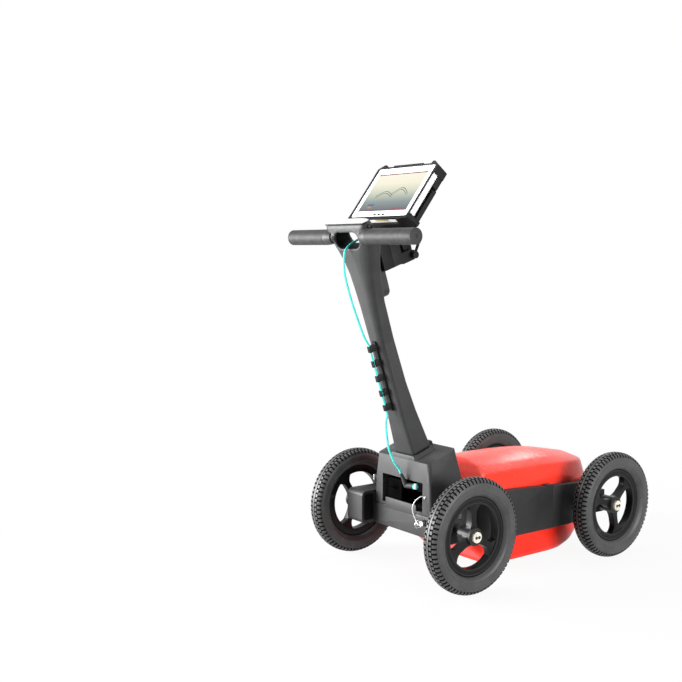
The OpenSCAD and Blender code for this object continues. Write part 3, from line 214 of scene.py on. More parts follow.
def moulded(name, dark, light, rough, grain, depth, blotch=18, metallic=0.0, shine=0.3):
    """A moulded or coated surface: blotchy colour, uneven gloss and a fine grain."""
    m, nodes, links, shader = material(name)
    cloud = noise(nodes, links, blotch, 5.0)
    colour = ramp(nodes, links, cloud.outputs["Fac"], list(zip(BLOTCH_STOPS, (dark, light))))
    links.new(colour.outputs["Color"], shader.inputs["Base Color"])
    smear = noise(nodes, links, blotch * SMEAR_SCALE, 6.0)
    gloss = spread(nodes, links, smear.outputs["Fac"], *rough)
    links.new(gloss.outputs["Result"], shader.inputs["Roughness"])
    fine = noise(nodes, links, grain, 3.0, 0.6)
    lump = nodes.new("ShaderNodeBump")
    lump.inputs["Strength"].default_value = GRAIN_STRENGTH
    lump.inputs["Distance"].default_value = depth
    links.new(fine.outputs["Fac"], lump.inputs["Height"])
    links.new(lump.outputs["Normal"], shader.inputs["Normal"])
    shader.inputs["Metallic"].default_value = metallic
    shader.inputs["Specular IOR Level"].default_value = shine
    return m


def grey(v):
    return (v, v, v * COOL)


PLASTIC = moulded("black_moulding", grey(0.024), grey(0.032), (0.40, 0.52), 1500, 0.0004,
                  shine=0.22)
FRAME_PLASTIC = moulded("frame_moulding", grey(0.015), grey(0.021), (0.42, 0.56), 1300, 0.0004,
                        shine=0.2)
RUBBER = moulded("tyre_rubber", grey(0.048), grey(0.068), (0.34, 0.46), 900, 0.0003, 26,
                 shine=0.26)
# Near-black for the tread's grooves and the bead: painted shade in the recesses
GROOVE_SHADE = moulded("tread_groove_shade", grey(0.003), grey(0.005), (0.6, 0.75), 900, 0.0003, 26,
                 shine=0.06)
RIM = moulded("rim_black", grey(0.004), grey(0.008), (0.30, 0.40), 1100, 0.00004, shine=0.14)
GRIP = moulded("grip_rubber", grey(0.020), grey(0.034), (0.45, 0.6), 650, 0.0006, 60, shine=0.14)
DARK = moulded("dark_rubber", grey(0.006), grey(0.011), (0.42, 0.58), 900, 0.0003, shine=0.12)
# Near-black for the head's hole liner and the encoder plate: painted shade in recesses
RECESS_SHADE = moulded("painted_recess_shade", grey(0.0025), grey(0.005), (0.55, 0.7), 900, 0.0003, shine=0.06)
# Almost black for the battery and socket block: painted shade deep in the bay
DEEP_SHADE = moulded("painted_deep_shade", grey(0.0006), grey(0.0012), (0.8, 0.9), 900, 0.0002, shine=0.02)
CAP_GREY = moulded("cap_grey", grey(0.024), grey(0.034), (0.45, 0.6), 800, 0.0003, shine=0.2)
RED = moulded("red_shell", (0.90, 0.036, 0.017), (0.95, 0.044, 0.022), (0.24, 0.30), 420, 0.00005,
              9, shine=0.28)
TUB_RED = moulded("red_tub", (0.88, 0.026, 0.012), (0.93, 0.034, 0.017), (0.26, 0.32), 420,
                  0.00005, 9, shine=0.13)
WHITE = moulded("white_plastic", (0.80, 0.80, 0.79), (0.86, 0.86, 0.85), (0.3, 0.4), 900, 0.0001)
PLATE = moulded("white_plate", (0.50, 0.50, 0.49), (0.60, 0.60, 0.59), (0.35, 0.45), 700, 0.0001)
TEAL = moulded("teal_jacket", (0.045, 0.50, 0.46), (0.06, 0.58, 0.53), (0.35, 0.45), 1500, 0.0001,
               40)
STEEL = moulded("steel", (0.52, 0.52, 0.53), (0.62, 0.62, 0.63), (0.22, 0.34), 600, 0.0001, 60,
                metallic=1.0, shine=0.5)
WIRE = moulded("coated_wire", (0.55, 0.55, 0.54), (0.70, 0.70, 0.69), (0.25, 0.35), 900, 0.0002,
               80, metallic=0.5)
CREAM = moulded("cream_cap", (0.70, 0.66, 0.54), (0.78, 0.74, 0.62), (0.35, 0.45), 900, 0.0001, 70)
BLUE = moulded("blue_bolt", (0.012, 0.020, 0.055), (0.020, 0.032, 0.080), (0.3, 0.4), 900, 0.0001,
               90)
TAN = moulded("tan_seal", (0.50, 0.36, 0.17), (0.58, 0.43, 0.22), (0.4, 0.5), 900, 0.0001, 70)
COPPER = moulded("copper_sheet", (0.60, 0.27, 0.14), (0.70, 0.34, 0.18), (0.25, 0.4), 500, 0.0001,
                 30, metallic=1.0)
BOARD = moulded("board_green", (0.010, 0.10, 0.045), (0.016, 0.14, 0.06), (0.35, 0.5), 700, 0.0001,
                60)

# Building pieces
AXIS_R = 0.01
LEAST_ROUND = 0.2
MERGE_M = 1e-5
FLAT_ANGLE, EDGE_ANGLE = math.radians(1.5), math.radians(28)


def finish_mesh(mesh, look, angle):
    """One material and smooth shading, sharp where faces meet at more than an angle in degrees."""
    mesh.materials.clear()
    mesh.materials.append(look)
    mesh.shade_smooth()
    mesh.set_sharp_from_angle(angle=math.radians(angle))


def paint(mesh, look, chosen):
    """A second material on the faces that a test chooses."""
    mesh.materials.append(look)
    for face in mesh.polygons:
        face.material_index = 1 if chosen(face) else 0


def piece(name, verts, faces, look, body, stands_for=(), at=ROW, angle=35.0, ride=True):
    """A mesh from millimetre points in one of the frames, riding on a body."""
    mesh = bpy.data.meshes.new(name)
    mesh.from_pydata([(at @ Vector(v)) * MM for v in verts], [], faces)
    mesh.validate()
    finish_mesh(mesh, look, angle)
    o = add_object(name, mesh)
    if ride:
        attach(o, body)
    if stands_for:
        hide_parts(*stands_for)
    return o


def join(*parts):
    """One list of points and faces from several."""
    verts, faces = [], []
    for v, f in parts:
        base = len(verts)
        verts.extend(v)
        faces.extend([tuple(base + i for i in q) for q in f])
    return verts, faces


def moved(part, at):
    return [tuple(at @ Vector(v)) for v in part[0]], part[1]


def quarter(steps):
    """Angles from 0 to a quarter turn."""
    return [math.pi / 2 * i / steps for i in range(steps + 1)]


def wrapped(count, n):
    """Quads between neighbouring columns of n points, the last column joined to the first."""
    return [(k * n + i, (k + 1) % count * n + i, (k + 1) % count * n + i + 1, k * n + i + 1)
            for k in range(count) for i in range(n - 1)]


def lathe(profile, steps=64):
    """Turns (radius, height) points about local Z."""
    turn = [2 * math.pi * k / steps for k in range(steps)]
    verts = [(r * math.cos(t), r * math.sin(t), h) for t in turn for r, h in profile]
    return verts, wrapped(steps, len(profile))


def ball_edge(r, low, high, edge, steps=5):
    """Profile of a solid disc with rounded rims, from the axis round to the axis."""
    arc = quarter(steps)
    under = [(r - edge + edge * math.sin(t), low + edge - edge * math.cos(t)) for t in arc]
    over = [(r - edge + edge * math.cos(t), high - edge + edge * math.sin(t)) for t in arc]
    return [(AXIS_R, low)] + under + over + [(AXIS_R, high)]


def loft(rings, ends=True):
    """Quads between closed rings of equal length, with flat ends where asked."""
    n = len(rings[0])
    verts = [p for r in rings for p in r]
    faces = [(k * n + i, k * n + (i + 1) % n, (k + 1) * n + (i + 1) % n, (k + 1) * n + i)
             for k in range(len(rings) - 1) for i in range(n)]
    if ends:
        faces.append(tuple(range(n - 1, -1, -1)))
        faces.append(tuple(range((len(rings) - 1) * n, len(rings) * n)))
    return verts, faces


def rounded_slab(low, high, edge, round_plan, steps=5):
    """A slab with rounded corners in plan and softened rims."""
    def outline(inset, z):
        r = max(round_plan - inset, LEAST_ROUND)
        x0, y0, x1, y1 = low[0] + inset, low[1] + inset, high[0] - inset, high[1] - inset
        corners = ((x1 - r, y1 - r), (x0 + r, y1 - r), (x0 + r, y0 + r), (x1 - r, y0 + r))
        pts = []
        for start, (cx, cy) in enumerate(corners):
            for i in range(steps + 1):
                t = math.pi / 2 * (start + i / steps)
                pts.append((cx + r * math.cos(t), cy + r * math.sin(t), z))
        return pts

    arc = [(edge * (1 - math.sin(t)), edge * (1 - math.cos(t))) for t in quarter(3)]
    rings = [outline(s, low[2] + c) for s, c in arc]
    return loft(rings + [outline(c, high[2] - s) for s, c in arc])


def dress(node, width, look, shortest=6.0, drop=None):
    """A copy of a CAD part with softened edges stands for the part.

    Where drop is given, the copy's points between its first two heights sink by the third.
    """
    source = NODES[node]
    bm = bmesh.new()
    bm.from_mesh(source.data)
    if drop:
        low, high, by = drop
        back = source.matrix_world.inverted()
        for v in bm.verts:
            p = source.matrix_world @ v.co
            if low * MM < p.z < high * MM:
                v.co = back @ (p - Vector((0, 0, by * MM)))
    bmesh.ops.remove_doubles(bm, verts=bm.verts, dist=MERGE_M)
    bmesh.ops.dissolve_limit(bm, angle_limit=FLAT_ANGLE, verts=bm.verts, edges=bm.edges)
    sharp = [e for e in bm.edges if e.is_manifold and e.calc_length() > shortest * MM
             and e.calc_face_angle(0) > EDGE_ANGLE]
    bmesh.ops.bevel(bm, geom=sharp, offset=width * MM, offset_type="OFFSET", segments=3,
                    profile=0.5, affect="EDGES", clamp_overlap=True)
    mesh = bpy.data.meshes.new(node + "_skin")
    bm.to_mesh(mesh)
    bm.free()
    finish_mesh(mesh, look, 38)
    o = add_object(node + "_skin", mesh)
    o.matrix_world = source.matrix_world.copy()
    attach(o, body_of(source)[0])
    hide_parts(node)
    return o


# Cords: swept along the routes they take in the photograph
def curve_through(points, steps):
    """Points on a smooth curve through the given ones."""
    p = [Vector(q) for q in points]
    out = []
    for i in range(len(p) - 1):
        a, b, c, d = p[max(i - 1, 0)], p[i], p[i + 1], p[min(i + 2, len(p) - 1)]
        for k in range(steps):
            t = k / steps
            out.append((b * 2 + (c - a) * t + (a * 2 - b * 5 + c * 4 - d) * t * t
                        + (b * 3 - a - c * 3 + d) * t ** 3) / 2)
    return out + [p[-1]]


def tube(path, radius, sides=12):
    """A round tube along a path, its rings carried along without twist."""
    across = Vector((0, 1, 0))
    turn = [2 * math.pi * k / sides for k in range(sides)]
    rings = []
    for i, p in enumerate(path):
        d = (path[min(i + 1, len(path) - 1)] - path[max(i - 1, 0)]).normalized()
        u = (across - d * across.dot(d)).normalized()
        w = d.cross(u)
        rings.append([p + radius * (math.cos(t) * u + math.sin(t) * w) for t in turn])
    return loft(rings)


def cord(name, path, radius, look, node, body, bends=None):
    """A cord that rides on a body, or bends between two bodies."""
    o = piece(name, *tube(path, radius), look, body, (node,), ride=bends is None, angle=60)
    if bends:
        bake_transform(o, *bends, path[0] * MM, path[-1] * MM)


def on_mast(*points):
    return [MAST @ Vector(p) for p in points]


CABLE_R, LANYARD_R = 3.0, 1.5
BEAM_REAR = REAR_X - 29.0
BAY_HALF = 87.0
PLUG = Vector((BEAM_REAR - 6, -0.276 * BAY_HALF, 260))
PLUG_TURN = math.radians(-68.6)
PLUG_WAY = Vector((math.cos(PLUG_TURN), math.sin(PLUG_TURN), 0))
BOOT_LEAN, BOOT_TURN = math.radians(24.5), math.radians(135)
BOOT_WAY = Vector((math.sin(BOOT_LEAN) * math.cos(BOOT_TURN),
                   math.sin(BOOT_LEAN) * math.sin(BOOT_TURN), math.cos(BOOT_LEAN)))
BOOT_LONG = 36.0
PLUG_END = PLUG + BOOT_WAY * (BOOT_LONG + 0.3)
RAIL_LOW, RAIL_HIGH, CLIP_A = 136.2, 345.3, -21.0
HOLE_C = 637.0
lower = curve_through(
    [PLUG_END + BOOT_WAY * 4.2, PLUG_END + BOOT_WAY * 14]
    + on_mast((-44, -8, -14), (-49, -8, 8), (-51, -6, 40), (-45, -4, 76), (-34, -1, 112),
              (CLIP_A - 2, 0, RAIL_LOW - 9), (CLIP_A, 0, RAIL_LOW + 4.5)), 8)
cord("data_cable_lower", [PLUG_END] + lower, CABLE_R, TEAL, "cable_lower", None,
     ("chassis", "mast_unit"))
upper = curve_through(
    [(CLIP_A, 0, RAIL_HIGH - 4.5), (-30, 0, 372), (-37, 0, 440), (-40, 0, 500), (-38, 0, 556),
     (-28, 0, 592), (-12, 0, HOLE_C - 20), (25, 0, HOLE_C - 10), (60, 0, HOLE_C - 9),
     (84, 0, HOLE_C - 15), (97, 0, HOLE_C - 26), (100, 0, 598)], 6)
cord("data_cable_upper", on_mast((CLIP_A, 0, RAIL_LOW + 4.8), *upper), CABLE_R, TEAL,
     "cable_upper", "mast_unit")
EYE_AT = Vector((BEAM_REAR, -97, 237))
LOOP = ((-1, 0, 0), (-7, 6, 4), (-17, 18, -8), (-22, 26, -26), (-21, 25, -46), (-17, 16, -66),
        (-20, 4, -76))
cord("release_lanyard", curve_through([EYE_AT + Vector(p) for p in LOOP], 6), LANYARD_R, WIRE,
     "pin_lanyard", None, ("chassis", "release_pin"))

# Tyres: rows of blocks on each side of a zigzag rib, by distance from the crown along the section
PITCHES = 72
COLUMNS = (0.0, 0.16, 0.20, 0.30, 0.34, 0.5, 0.66, 0.70, 0.80, 0.84)
CARCASS = ((0, 157.3), (6, 157.0), (11, 156.2), (15.5, 154.6), (19.5, 152.2), (22.5, 149.2),
           (24.3, 145.8), (25.3, 141.8), (25.9, 137), (26, 130.5), (24.9, 123), (22, 117),
           (17.8, 112), (12.6, 109), (9.4, 106.5), (9.1, 103), (9.0, 99.5))
BEAD_WAY = (0.6, 0.8)
STATIONS = (0, 1.6, 3.0, 3.5, 4.7, 5.2, 8.5, 11.8, 12.3, 13.5, 14.0, 17, 20, 22.3, 22.8, 24.5,
            26.5, 27.2, 30, 33, 33.6, 34.4, 35, 38, 41, 46, 49, 49.6, 50.4, 51, 54, 58, 62, 66,
            70, 74, 78)
TREAD_END, BEAD_START = STATIONS.index(30), STATIONS.index(70)
RIB_HALF, RIB_HIGH, RIB_SWAY, SWAY_REACH = 3.0, 2.7, 1.3, 4.9
INNER_ROW, INNER_HIGH = (5.2, 11.8), 2.6
OUTER_ROW, OUTER_HIGH = (14.0, 22.3), 2.5
SHOULDER, SHOULDER_HIGH, SHOULDER_FALL = (22.8, 26.5), 2.0, 0.35
SIDE_RINGS, RING_HIGH = ((33.6, 34.4), (49.6, 50.4)), 0.6
INNER_BLOCK, OUTER_GAP = (0.2, 0.8), (0.3, 0.7)
GROOVE_HIGH = 0.2


def carcass(q):
    """Point and outward direction of the bare tyre at a distance from the crown."""
    for (z0, r0), (z1, r1) in zip(CARCASS, CARCASS[1:]):
        d = math.hypot(z1 - z0, r1 - r0)
        if q <= d:
            t = q / d
            return (r0 + (r1 - r0) * t, z0 + (z1 - z0) * t), ((z1 - z0) / d, (r0 - r1) / d)
        q -= d
    return (CARCASS[-1][1], CARCASS[-1][0]), BEAD_WAY


def block_height(q, c):
    """Height of the tread over the carcass at a distance from the crown and a share of a pitch."""
    inner = INNER_BLOCK[0] <= c <= INNER_BLOCK[1]
    outer = c <= OUTER_GAP[0] or c >= OUTER_GAP[1]
    if q <= RIB_HALF:
        return RIB_HIGH
    if INNER_ROW[0] <= q <= INNER_ROW[1]:
        return INNER_HIGH if inner else 0.0
    if OUTER_ROW[0] <= q <= OUTER_ROW[1]:
        return OUTER_HIGH if outer else 0.0
    if SHOULDER[0] <= q <= SHOULDER[1]:
        return (SHOULDER_HIGH - SHOULDER_FALL * (q - SHOULDER[0])) if outer else 0.0
    if any(a <= q <= b for a, b in SIDE_RINGS):
        return RING_HIGH
    return 0.0


def tyre_form():
    stations = [(-1, q) for q in reversed(STATIONS)] + [(1, q) for q in STATIONS[1:]]
    verts = []
    for i in range(PITCHES):
        for c in COLUMNS:
            a = 2 * math.pi * (i + c) / PITCHES
            sway = RIB_SWAY * (1 - 4 * abs(c - 0.5))
            for side, q in stations:
                (r, z), (nr, nz) = carcass(q)
                h = block_height(q, c)
                r, z = r + nr * h, side * (z + nz * h)
                z += sway * max(0.0, 1 - q / SWAY_REACH)
                verts.append((r * math.cos(a), r * math.sin(a), z))
    return verts, wrapped(PITCHES * len(COLUMNS), len(stations))


def groove_shade_faces(face):
    """True for a tyre's faces between the blocks and on the bead, which are painted near-black as painted
    shade.
    """
    half = len(STATIONS) - 1
    row = 2 * half + 1
    spots = [(abs(v % row - half), v // row % len(COLUMNS)) for v in face.vertices]
    if max(q for q, c in spots) < TREAD_END:
        return min(block_height(STATIONS[q], COLUMNS[c]) for q, c in spots) < GROOVE_HIGH
    return min(q for q, c in spots) >= BEAD_START


def beyond(o, axle, radius):
    """A test for the faces further than a radius from an axle, in metres."""
    def test(face):
        arm = o.matrix_world @ face.center - axle
        return math.hypot(arm.x, arm.z) > radius
    return test


def share_mesh(name, mesh, at, body, stands_for):
    """An object that shares its mesh with others, placed by a frame."""
    o = add_object(name, mesh)
    o.matrix_world = Matrix.Translation(at.to_translation() * MM) @ at.to_3x3().to_4x4()
    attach(o, body)
    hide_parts(*stands_for)


tyre_mesh = bpy.data.meshes.new("tyre")
tyre_verts, tyre_faces = tyre_form()
tyre_mesh.from_pydata([Vector(v) * MM for v in tyre_verts], [], tyre_faces)
finish_mesh(tyre_mesh, RUBBER, 32)
# Grooves and bead painted near-black: painted shade
paint(tyre_mesh, GROOVE_SHADE, groove_shade_faces)
CAP_TOP, FLANGE_R = 25.0, 93.0
BOLT_R, BOLT_HIGH, BOLT_OUT = 4.3, 1.8, 5.2
BEAD_RING = [(103, 12.0), (104, 13.2), (106, 13.4), (107.4, 12.4), (107.4, 11.0)]
FLANGE_RING = [(89.2, 11.9), (90, 12.8), (92.5, 12.8), (93.3, 11.9)]
HUB_RING = [(24.6, 10.0), (24.6, 16.6), (23.6, 17.6), (17, 18.2), (16, 17.0), (15.6, 15.8)]
bolt = lathe(ball_edge(BOLT_R, CAP_TOP, CAP_TOP + BOLT_HIGH, 0.6), 24)
bolts = join(*[moved(bolt, Matrix.Translation((x, 0, 0))) for x in (-BOLT_OUT, BOLT_OUT)])
rim_rings = join(lathe(BEAD_RING, 96), lathe(FLANGE_RING, 96), lathe(HUB_RING))
for wheel, at in WHEELS.items():
    body = "wheel_" + wheel
    share_mesh("tyre_" + wheel + "_skin", tyre_mesh, at, body, ("tyre_" + wheel,))
    rim = dress("rim_" + wheel, 1.6, RIM, 2.0)
    paint(rim.data, FRAME_PLASTIC, beyond(rim, at.to_translation() * MM, FLANGE_R * MM))
    piece("rim_rings_" + wheel, *rim_rings, FRAME_PLASTIC, body, at=at)
    dress("hub_cap_" + wheel, 0.7, CREAM, 0.5)
    piece("cap_bolts_" + wheel, *bolts, BLUE, body, at=at)

# CAD parts with softened edges: the width of the edge, the look and the shortest edge softened
for node, width, look, shortest in (
        ("rail_right", 2.5, FRAME_PLASTIC, 3), ("rail_left", 2.5, FRAME_PLASTIC, 3),
        ("front_belt", 2, FRAME_PLASTIC, 8), ("encoder_housing", 6, PLASTIC, 3),
        ("tilt_arm", 2.5, DARK, 8), ("dock", 1.5, DARK, 4), ("corner_guards", 1.2, DARK, 2),
        ("tablet_shell", 1.2, WHITE, 2), ("cable_rail", 0.8, DARK, 3),
        ("tilt_lever", 0.8, DARK, 2)):
    dress(node, width, look, shortest)

# The photograph's bay reaches lower than the CAD's, with a low wall across its mouth and the
# socket in its corner
BAY_DROP = 20.0
BEAM_BAND, BAY_BAND = (205, 207), (200, 213)
LIP_LOW, LIP_HIGH = (BEAM_REAR - 0.3, -60, 176), (BEAM_REAR + 6, 74, 208)
SOCKET_LOW, SOCKET_HIGH = (BEAM_REAR + 2, -BAY_HALF, 248), (BEAM_REAR + 42, -63, 276)
dress("rear_beam", 5, PLASTIC, 12, (*BEAM_BAND, BAY_DROP))
dress("pylon", 4, PLASTIC, 20, (*BAY_BAND, BAY_DROP))
# The battery and the socket block are painted almost black: painted shade deep in the bay
dress("battery", 2, DEEP_SHADE, 3, (*BAY_BAND, BAY_DROP))
piece("bay_lip", *rounded_slab(LIP_LOW, LIP_HIGH, 1.5, 2), PLASTIC, "chassis", angle=20)
piece("socket_block_skin", *rounded_slab(SOCKET_LOW, SOCKET_HIGH, 1, 2), DEEP_SHADE, "chassis",
      ("socket_block",))

# Seat under the mast's foot, open in the middle: rear, front, half width and height of its rings
SEAT = ((-9, 74, 52, -12.2), (-6, 72, 48.5, -2.2), (-5, 71, 47.5, -1), (2, 67.5, 38.5, -1),
        (2, 67.5, 38.5, -12.2))
seat_rings = [[(rear, -half, c), (front, -half, c), (front, half, c), (rear, half, c)]
              for rear, front, half, c in SEAT]
piece("mast_seat", *loft(seat_rings, ends=False), PLASTIC, "chassis", at=MAST)

# Antenna shells: lofted through the CAD rings with soft creases, ring by ring from the parting.
# Insets are shares of the half width; tails, noses and rises are shares of lengths and heights.
SHELL_HALF, SHELL_TURN, SHELL_POWER = 160.0, 156.0, 0.77
NOSE_SWEEP = math.radians(84)
PARTING = 200.0
EASE_REACH, EASE_STEPS = 45.0, 9
CREASE_SHARE, CREASE_STEPS = 0.45, 4
COVER_REAR, COVER_FRONT, COVER_RISE = -130.0, 433.0, 116.0
COVER_LONG = COVER_FRONT - COVER_REAR
COVER_INSET = (0, 0, 0.14, 0.425, 0.81)
COVER_TAIL = (0, 0.004, 0.068, 0.107, 0.135)
COVER_NOSE = (0, 0, 0.007, 0.018, 0.06)
COVER_CORNER = (34, 30, 14, 12, 12)
COVER_PLACES = (0, 0.43, 0.68, 1)
COVER_RISES = ((0, 0, 0, 0), (0.42, 0.39, 0.34, 0.17), (0.72, 0.74, 0.7, 0.55),
               (0.86, 0.875, 0.815, 0.58), (0.92, 1, 0.92, 0.64))
TUB_HALF, TUB_REAR, TUB_FRONT, TUB_CORNER = 159.0, -200.0, 427.0, 34.0
FLOOR_GAP, NOSE_LONG = 20.0, 187.0
TUB_LEVELS = (0, 0.07, 0.25, 0.5, 0.7, 1)
TUB_INSET = (0.075, 0.03, 0.015, 0.007, 0.004, 0)
TUB_NOSE = (0.52, 0.33, 0.135, 0.04, 0.02, 0)
TUB_TAIL = (0.79, 0.74, 0.49, 0.22, 0.01, 0)
NOTCH_X, NOTCH_HALF, NOTCH_TOP = TUB_REAR + 10, 126.0, 185.0


def half_plan(half, tail, nose, corner, corner_steps=7, nose_steps=26):
    """Half outline from the tail to the nose, y positive."""
    out = [(tail + corner * (1 - math.cos(t)), half - corner * (1 - math.sin(t)))
           for t in quarter(corner_steps)]
    for i in range(nose_steps + 1):
        t = NOSE_SWEEP * i / nose_steps
        out.append((SHELL_TURN + (nose - SHELL_TURN) * math.sin(t) ** SHELL_POWER,
                    half * math.cos(t) ** SHELL_POWER))
    return out


def eased(x, table):
    """Height from a table of (x, z), with its kinks eased."""
    xs = np.linspace(x - EASE_REACH, x + EASE_REACH, EASE_STEPS)
    return float(np.mean(np.interp(xs, [p[0] for p in table], [p[1] for p in table])))


def soft_column(points, reach):
    """A polyline with every inner corner turned into a short curve."""
    p = [Vector(q) for q in points]
    out = [p[0]]
    for a, b, c in zip(p, p[1:], p[2:]):
        r = min(reach, (b - a).length * CREASE_SHARE, (c - b).length * CREASE_SHARE)
        start, stop = b + (a - b).normalized() * r, b + (c - b).normalized() * r
        for i in range(CREASE_STEPS + 1):
            t = i / CREASE_STEPS
            out.append(start * (1 - t) ** 2 + b * 2 * t * (1 - t) + stop * t * t)
    return out + [p[-1]]


def shell(name, rings, reach, node, look):
    """Skin over mirrored rings given as lists of half outlines, closed at the last ring."""
    columns = [soft_column([ring[j] for ring in rings], reach) for j in range(len(rings[0]))]
    n, m = len(columns[0]), len(columns)
    right = [Vector((p.x, -p.y, p.z)) for c in columns for p in c]
    left = [p for c in columns for p in c]
    faces = []
    for j in range(m - 1):
        for i in range(n - 1):
            quad = (j * n + i, (j + 1) * n + i, (j + 1) * n + i + 1, j * n + i + 1)
            faces.append(quad)
            faces.append(tuple(m * n + k for k in reversed(quad)))
    top = [j * n + n - 1 for j in range(m)]
    for j in range(m - 1):
        faces.append((top[j], top[j + 1], m * n + top[j + 1], m * n + top[j]))
    for j, turn in ((0, 1), (m - 1, -1)):
        for i in range(n - 1):
            quad = (j * n + i, j * n + i + 1, m * n + j * n + i + 1, m * n + j * n + i)
            faces.append(quad[::turn])
    o = piece(name, right + left, faces, look, "chassis", (node,), angle=50)
    bm = bmesh.new()
    bm.from_mesh(o.data)
    bmesh.ops.recalc_face_normals(bm, faces=bm.faces)
    bm.to_mesh(o.data)
    bm.free()


cover_rings = []
for inset, tail, nose, corner, rises in zip(COVER_INSET, COVER_TAIL, COVER_NOSE, COVER_CORNER,
                                            COVER_RISES):
    table = [(COVER_REAR + COVER_LONG * s, PARTING + COVER_RISE * r)
             for s, r in zip(COVER_PLACES, rises)]
    plan = half_plan(SHELL_HALF * (1 - inset), COVER_REAR + COVER_LONG * tail,
                     COVER_FRONT - COVER_LONG * nose, corner)
    cover_rings.append([(x, y, eased(x, table)) for x, y in plan])
shell("antenna_cover_skin", cover_rings, 8, "antenna_cover", RED)
tub_rings = []
for level, inset, nose, tail in reversed(list(zip(TUB_LEVELS, TUB_INSET, TUB_NOSE, TUB_TAIL))):
    z = FLOOR_GAP + (PARTING - FLOOR_GAP) * level
    plan = half_plan(TUB_HALF * (1 - inset), TUB_REAR + TUB_HALF * tail,
                     TUB_FRONT - NOSE_LONG * nose, TUB_CORNER)
    tub_rings.append([(x, y, min(z, NOTCH_TOP) if x < NOTCH_X and y < NOTCH_HALF else z)
                      for x, y in plan])
shell("antenna_tub_skin", tub_rings, 10, "antenna_tub", TUB_RED)

# Mast: one smooth moulding, softest where it flares into the head
CHEEK_C = (574.8, 604.7, 623.8, 644.9, 672.1, 681.0)
CHEEK_SHARE = (0.0, 0.2, 0.5, 0.8, 1.0, 1.0)
CHEEK_FRONT = (51.1, 53.0, 53.9, 53.9, 53.9, 51.1)
CHEEK_HALF = (61.0, 72.1, 79.1, 84.3, 86.0, 83.2)
CHEEK_DEEP, CHEEK_WIDE = 40.0, 70.0
PULL_C, PULL_SHARE = (-15, 330, 430, 540, 690), (0.06, 0.06, 0.4, 1.0, 1.0)
RELAX, RELAX_BACK = 0.6, -0.94


def cut_cheeks(p):
    """Cuts the head's front corners back to a lens shape; p holds points in the mast's frame."""
    share, front, half = (np.interp(p[:, 2], CHEEK_C, t)
                          for t in (CHEEK_SHARE, CHEEK_FRONT, CHEEK_HALF))
    wide = np.maximum(CHEEK_WIDE * share, 1)
    u = np.clip((np.abs(p[:, 1]) - half + wide) / wide, 0, 1)
    limit = front - CHEEK_DEEP * share * (1 - np.sqrt(1 - u * u))
    cut = (np.abs(p[:, 1]) < half + 0.5) & (p[:, 2] > CHEEK_C[0]) & (p[:, 0] > limit)
    p[cut, 0] = limit[cut]


def applied(turn, points):
    return (np.c_[points, np.ones(len(points))] @ turn.T)[:, :3]


def smooth_moulding(node, look, voxel, rounds):
    """A remeshed copy of the mast, relaxed by a share that depends on the height up the mast."""
    source = NODES[node]
    world = source.matrix_world.copy()
    form = add_object(node + "_form", source.data.copy())
    form.matrix_world = world
    remesh = form.modifiers.new("voxels", "REMESH")
    remesh.mode = "VOXEL"
    remesh.voxel_size = voxel * MM
    ready = form.evaluated_get(bpy.context.evaluated_depsgraph_get())
    mesh = bpy.data.meshes.new_from_object(ready)
    mesh.name = node + "_skin"
    bpy.data.objects.remove(form)
    co = np.empty(len(mesh.vertices) * 3, dtype=np.float32)
    mesh.vertices.foreach_get("co", co)
    co = co.reshape(-1, 3).astype(float)
    ends = np.empty(len(mesh.edges) * 2, dtype=np.int32)
    mesh.edges.foreach_get("vertices", ends)
    ends = ends.reshape(-1, 2)
    count = np.bincount(ends.ravel(), minlength=len(co))[:, None]
    to_mast = np.array(MAST.inverted() @ Matrix.Diagonal((1 / MM, 1 / MM, 1 / MM, 1)) @ world)
    local = applied(to_mast, co)
    cut_cheeks(local)
    co = applied(np.linalg.inv(to_mast), local)
    share = np.interp(local[:, 2], PULL_C, PULL_SHARE)[:, None]
    for step in range(rounds):
        total = np.zeros_like(co)
        np.add.at(total, ends[:, 0], co[ends[:, 1]])
        np.add.at(total, ends[:, 1], co[ends[:, 0]])
        way = 1.0 if step % 2 == 0 else RELAX_BACK
        co += way * RELAX * share * (total / count - co)
    mesh.vertices.foreach_set("co", co.astype(np.float32).ravel())
    finish_mesh(mesh, look, 80)
    o = add_object(node + "_skin", mesh)
    o.matrix_world = world
    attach(o, "mast_unit")
    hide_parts(node)


smooth_moulding("mast", PLASTIC, 2.4, 24)
HOLE_HALF, HOLE_R, HOLE_STEPS = 29.0, 22.3, 48
LINER_REAR, LINER_FRONT = 2, 46


def hole_ring(a):
    """The oval of the head's hole at one depth, a little inside its wall."""
    turn = [2 * math.pi * (k + 0.5) / HOLE_STEPS for k in range(HOLE_STEPS)]
    return [(a, math.copysign(HOLE_HALF, math.sin(t)) + HOLE_R * math.sin(t),
             HOLE_C + HOLE_R * math.cos(t)) for t in turn]


# A near-black liner inside the head's hole: painted shade
piece("hole_shade_liner", *loft([hole_ring(LINER_REAR), hole_ring(LINER_FRONT)], ends=False), RECESS_SHADE,
      "mast_unit", at=MAST, angle=60)

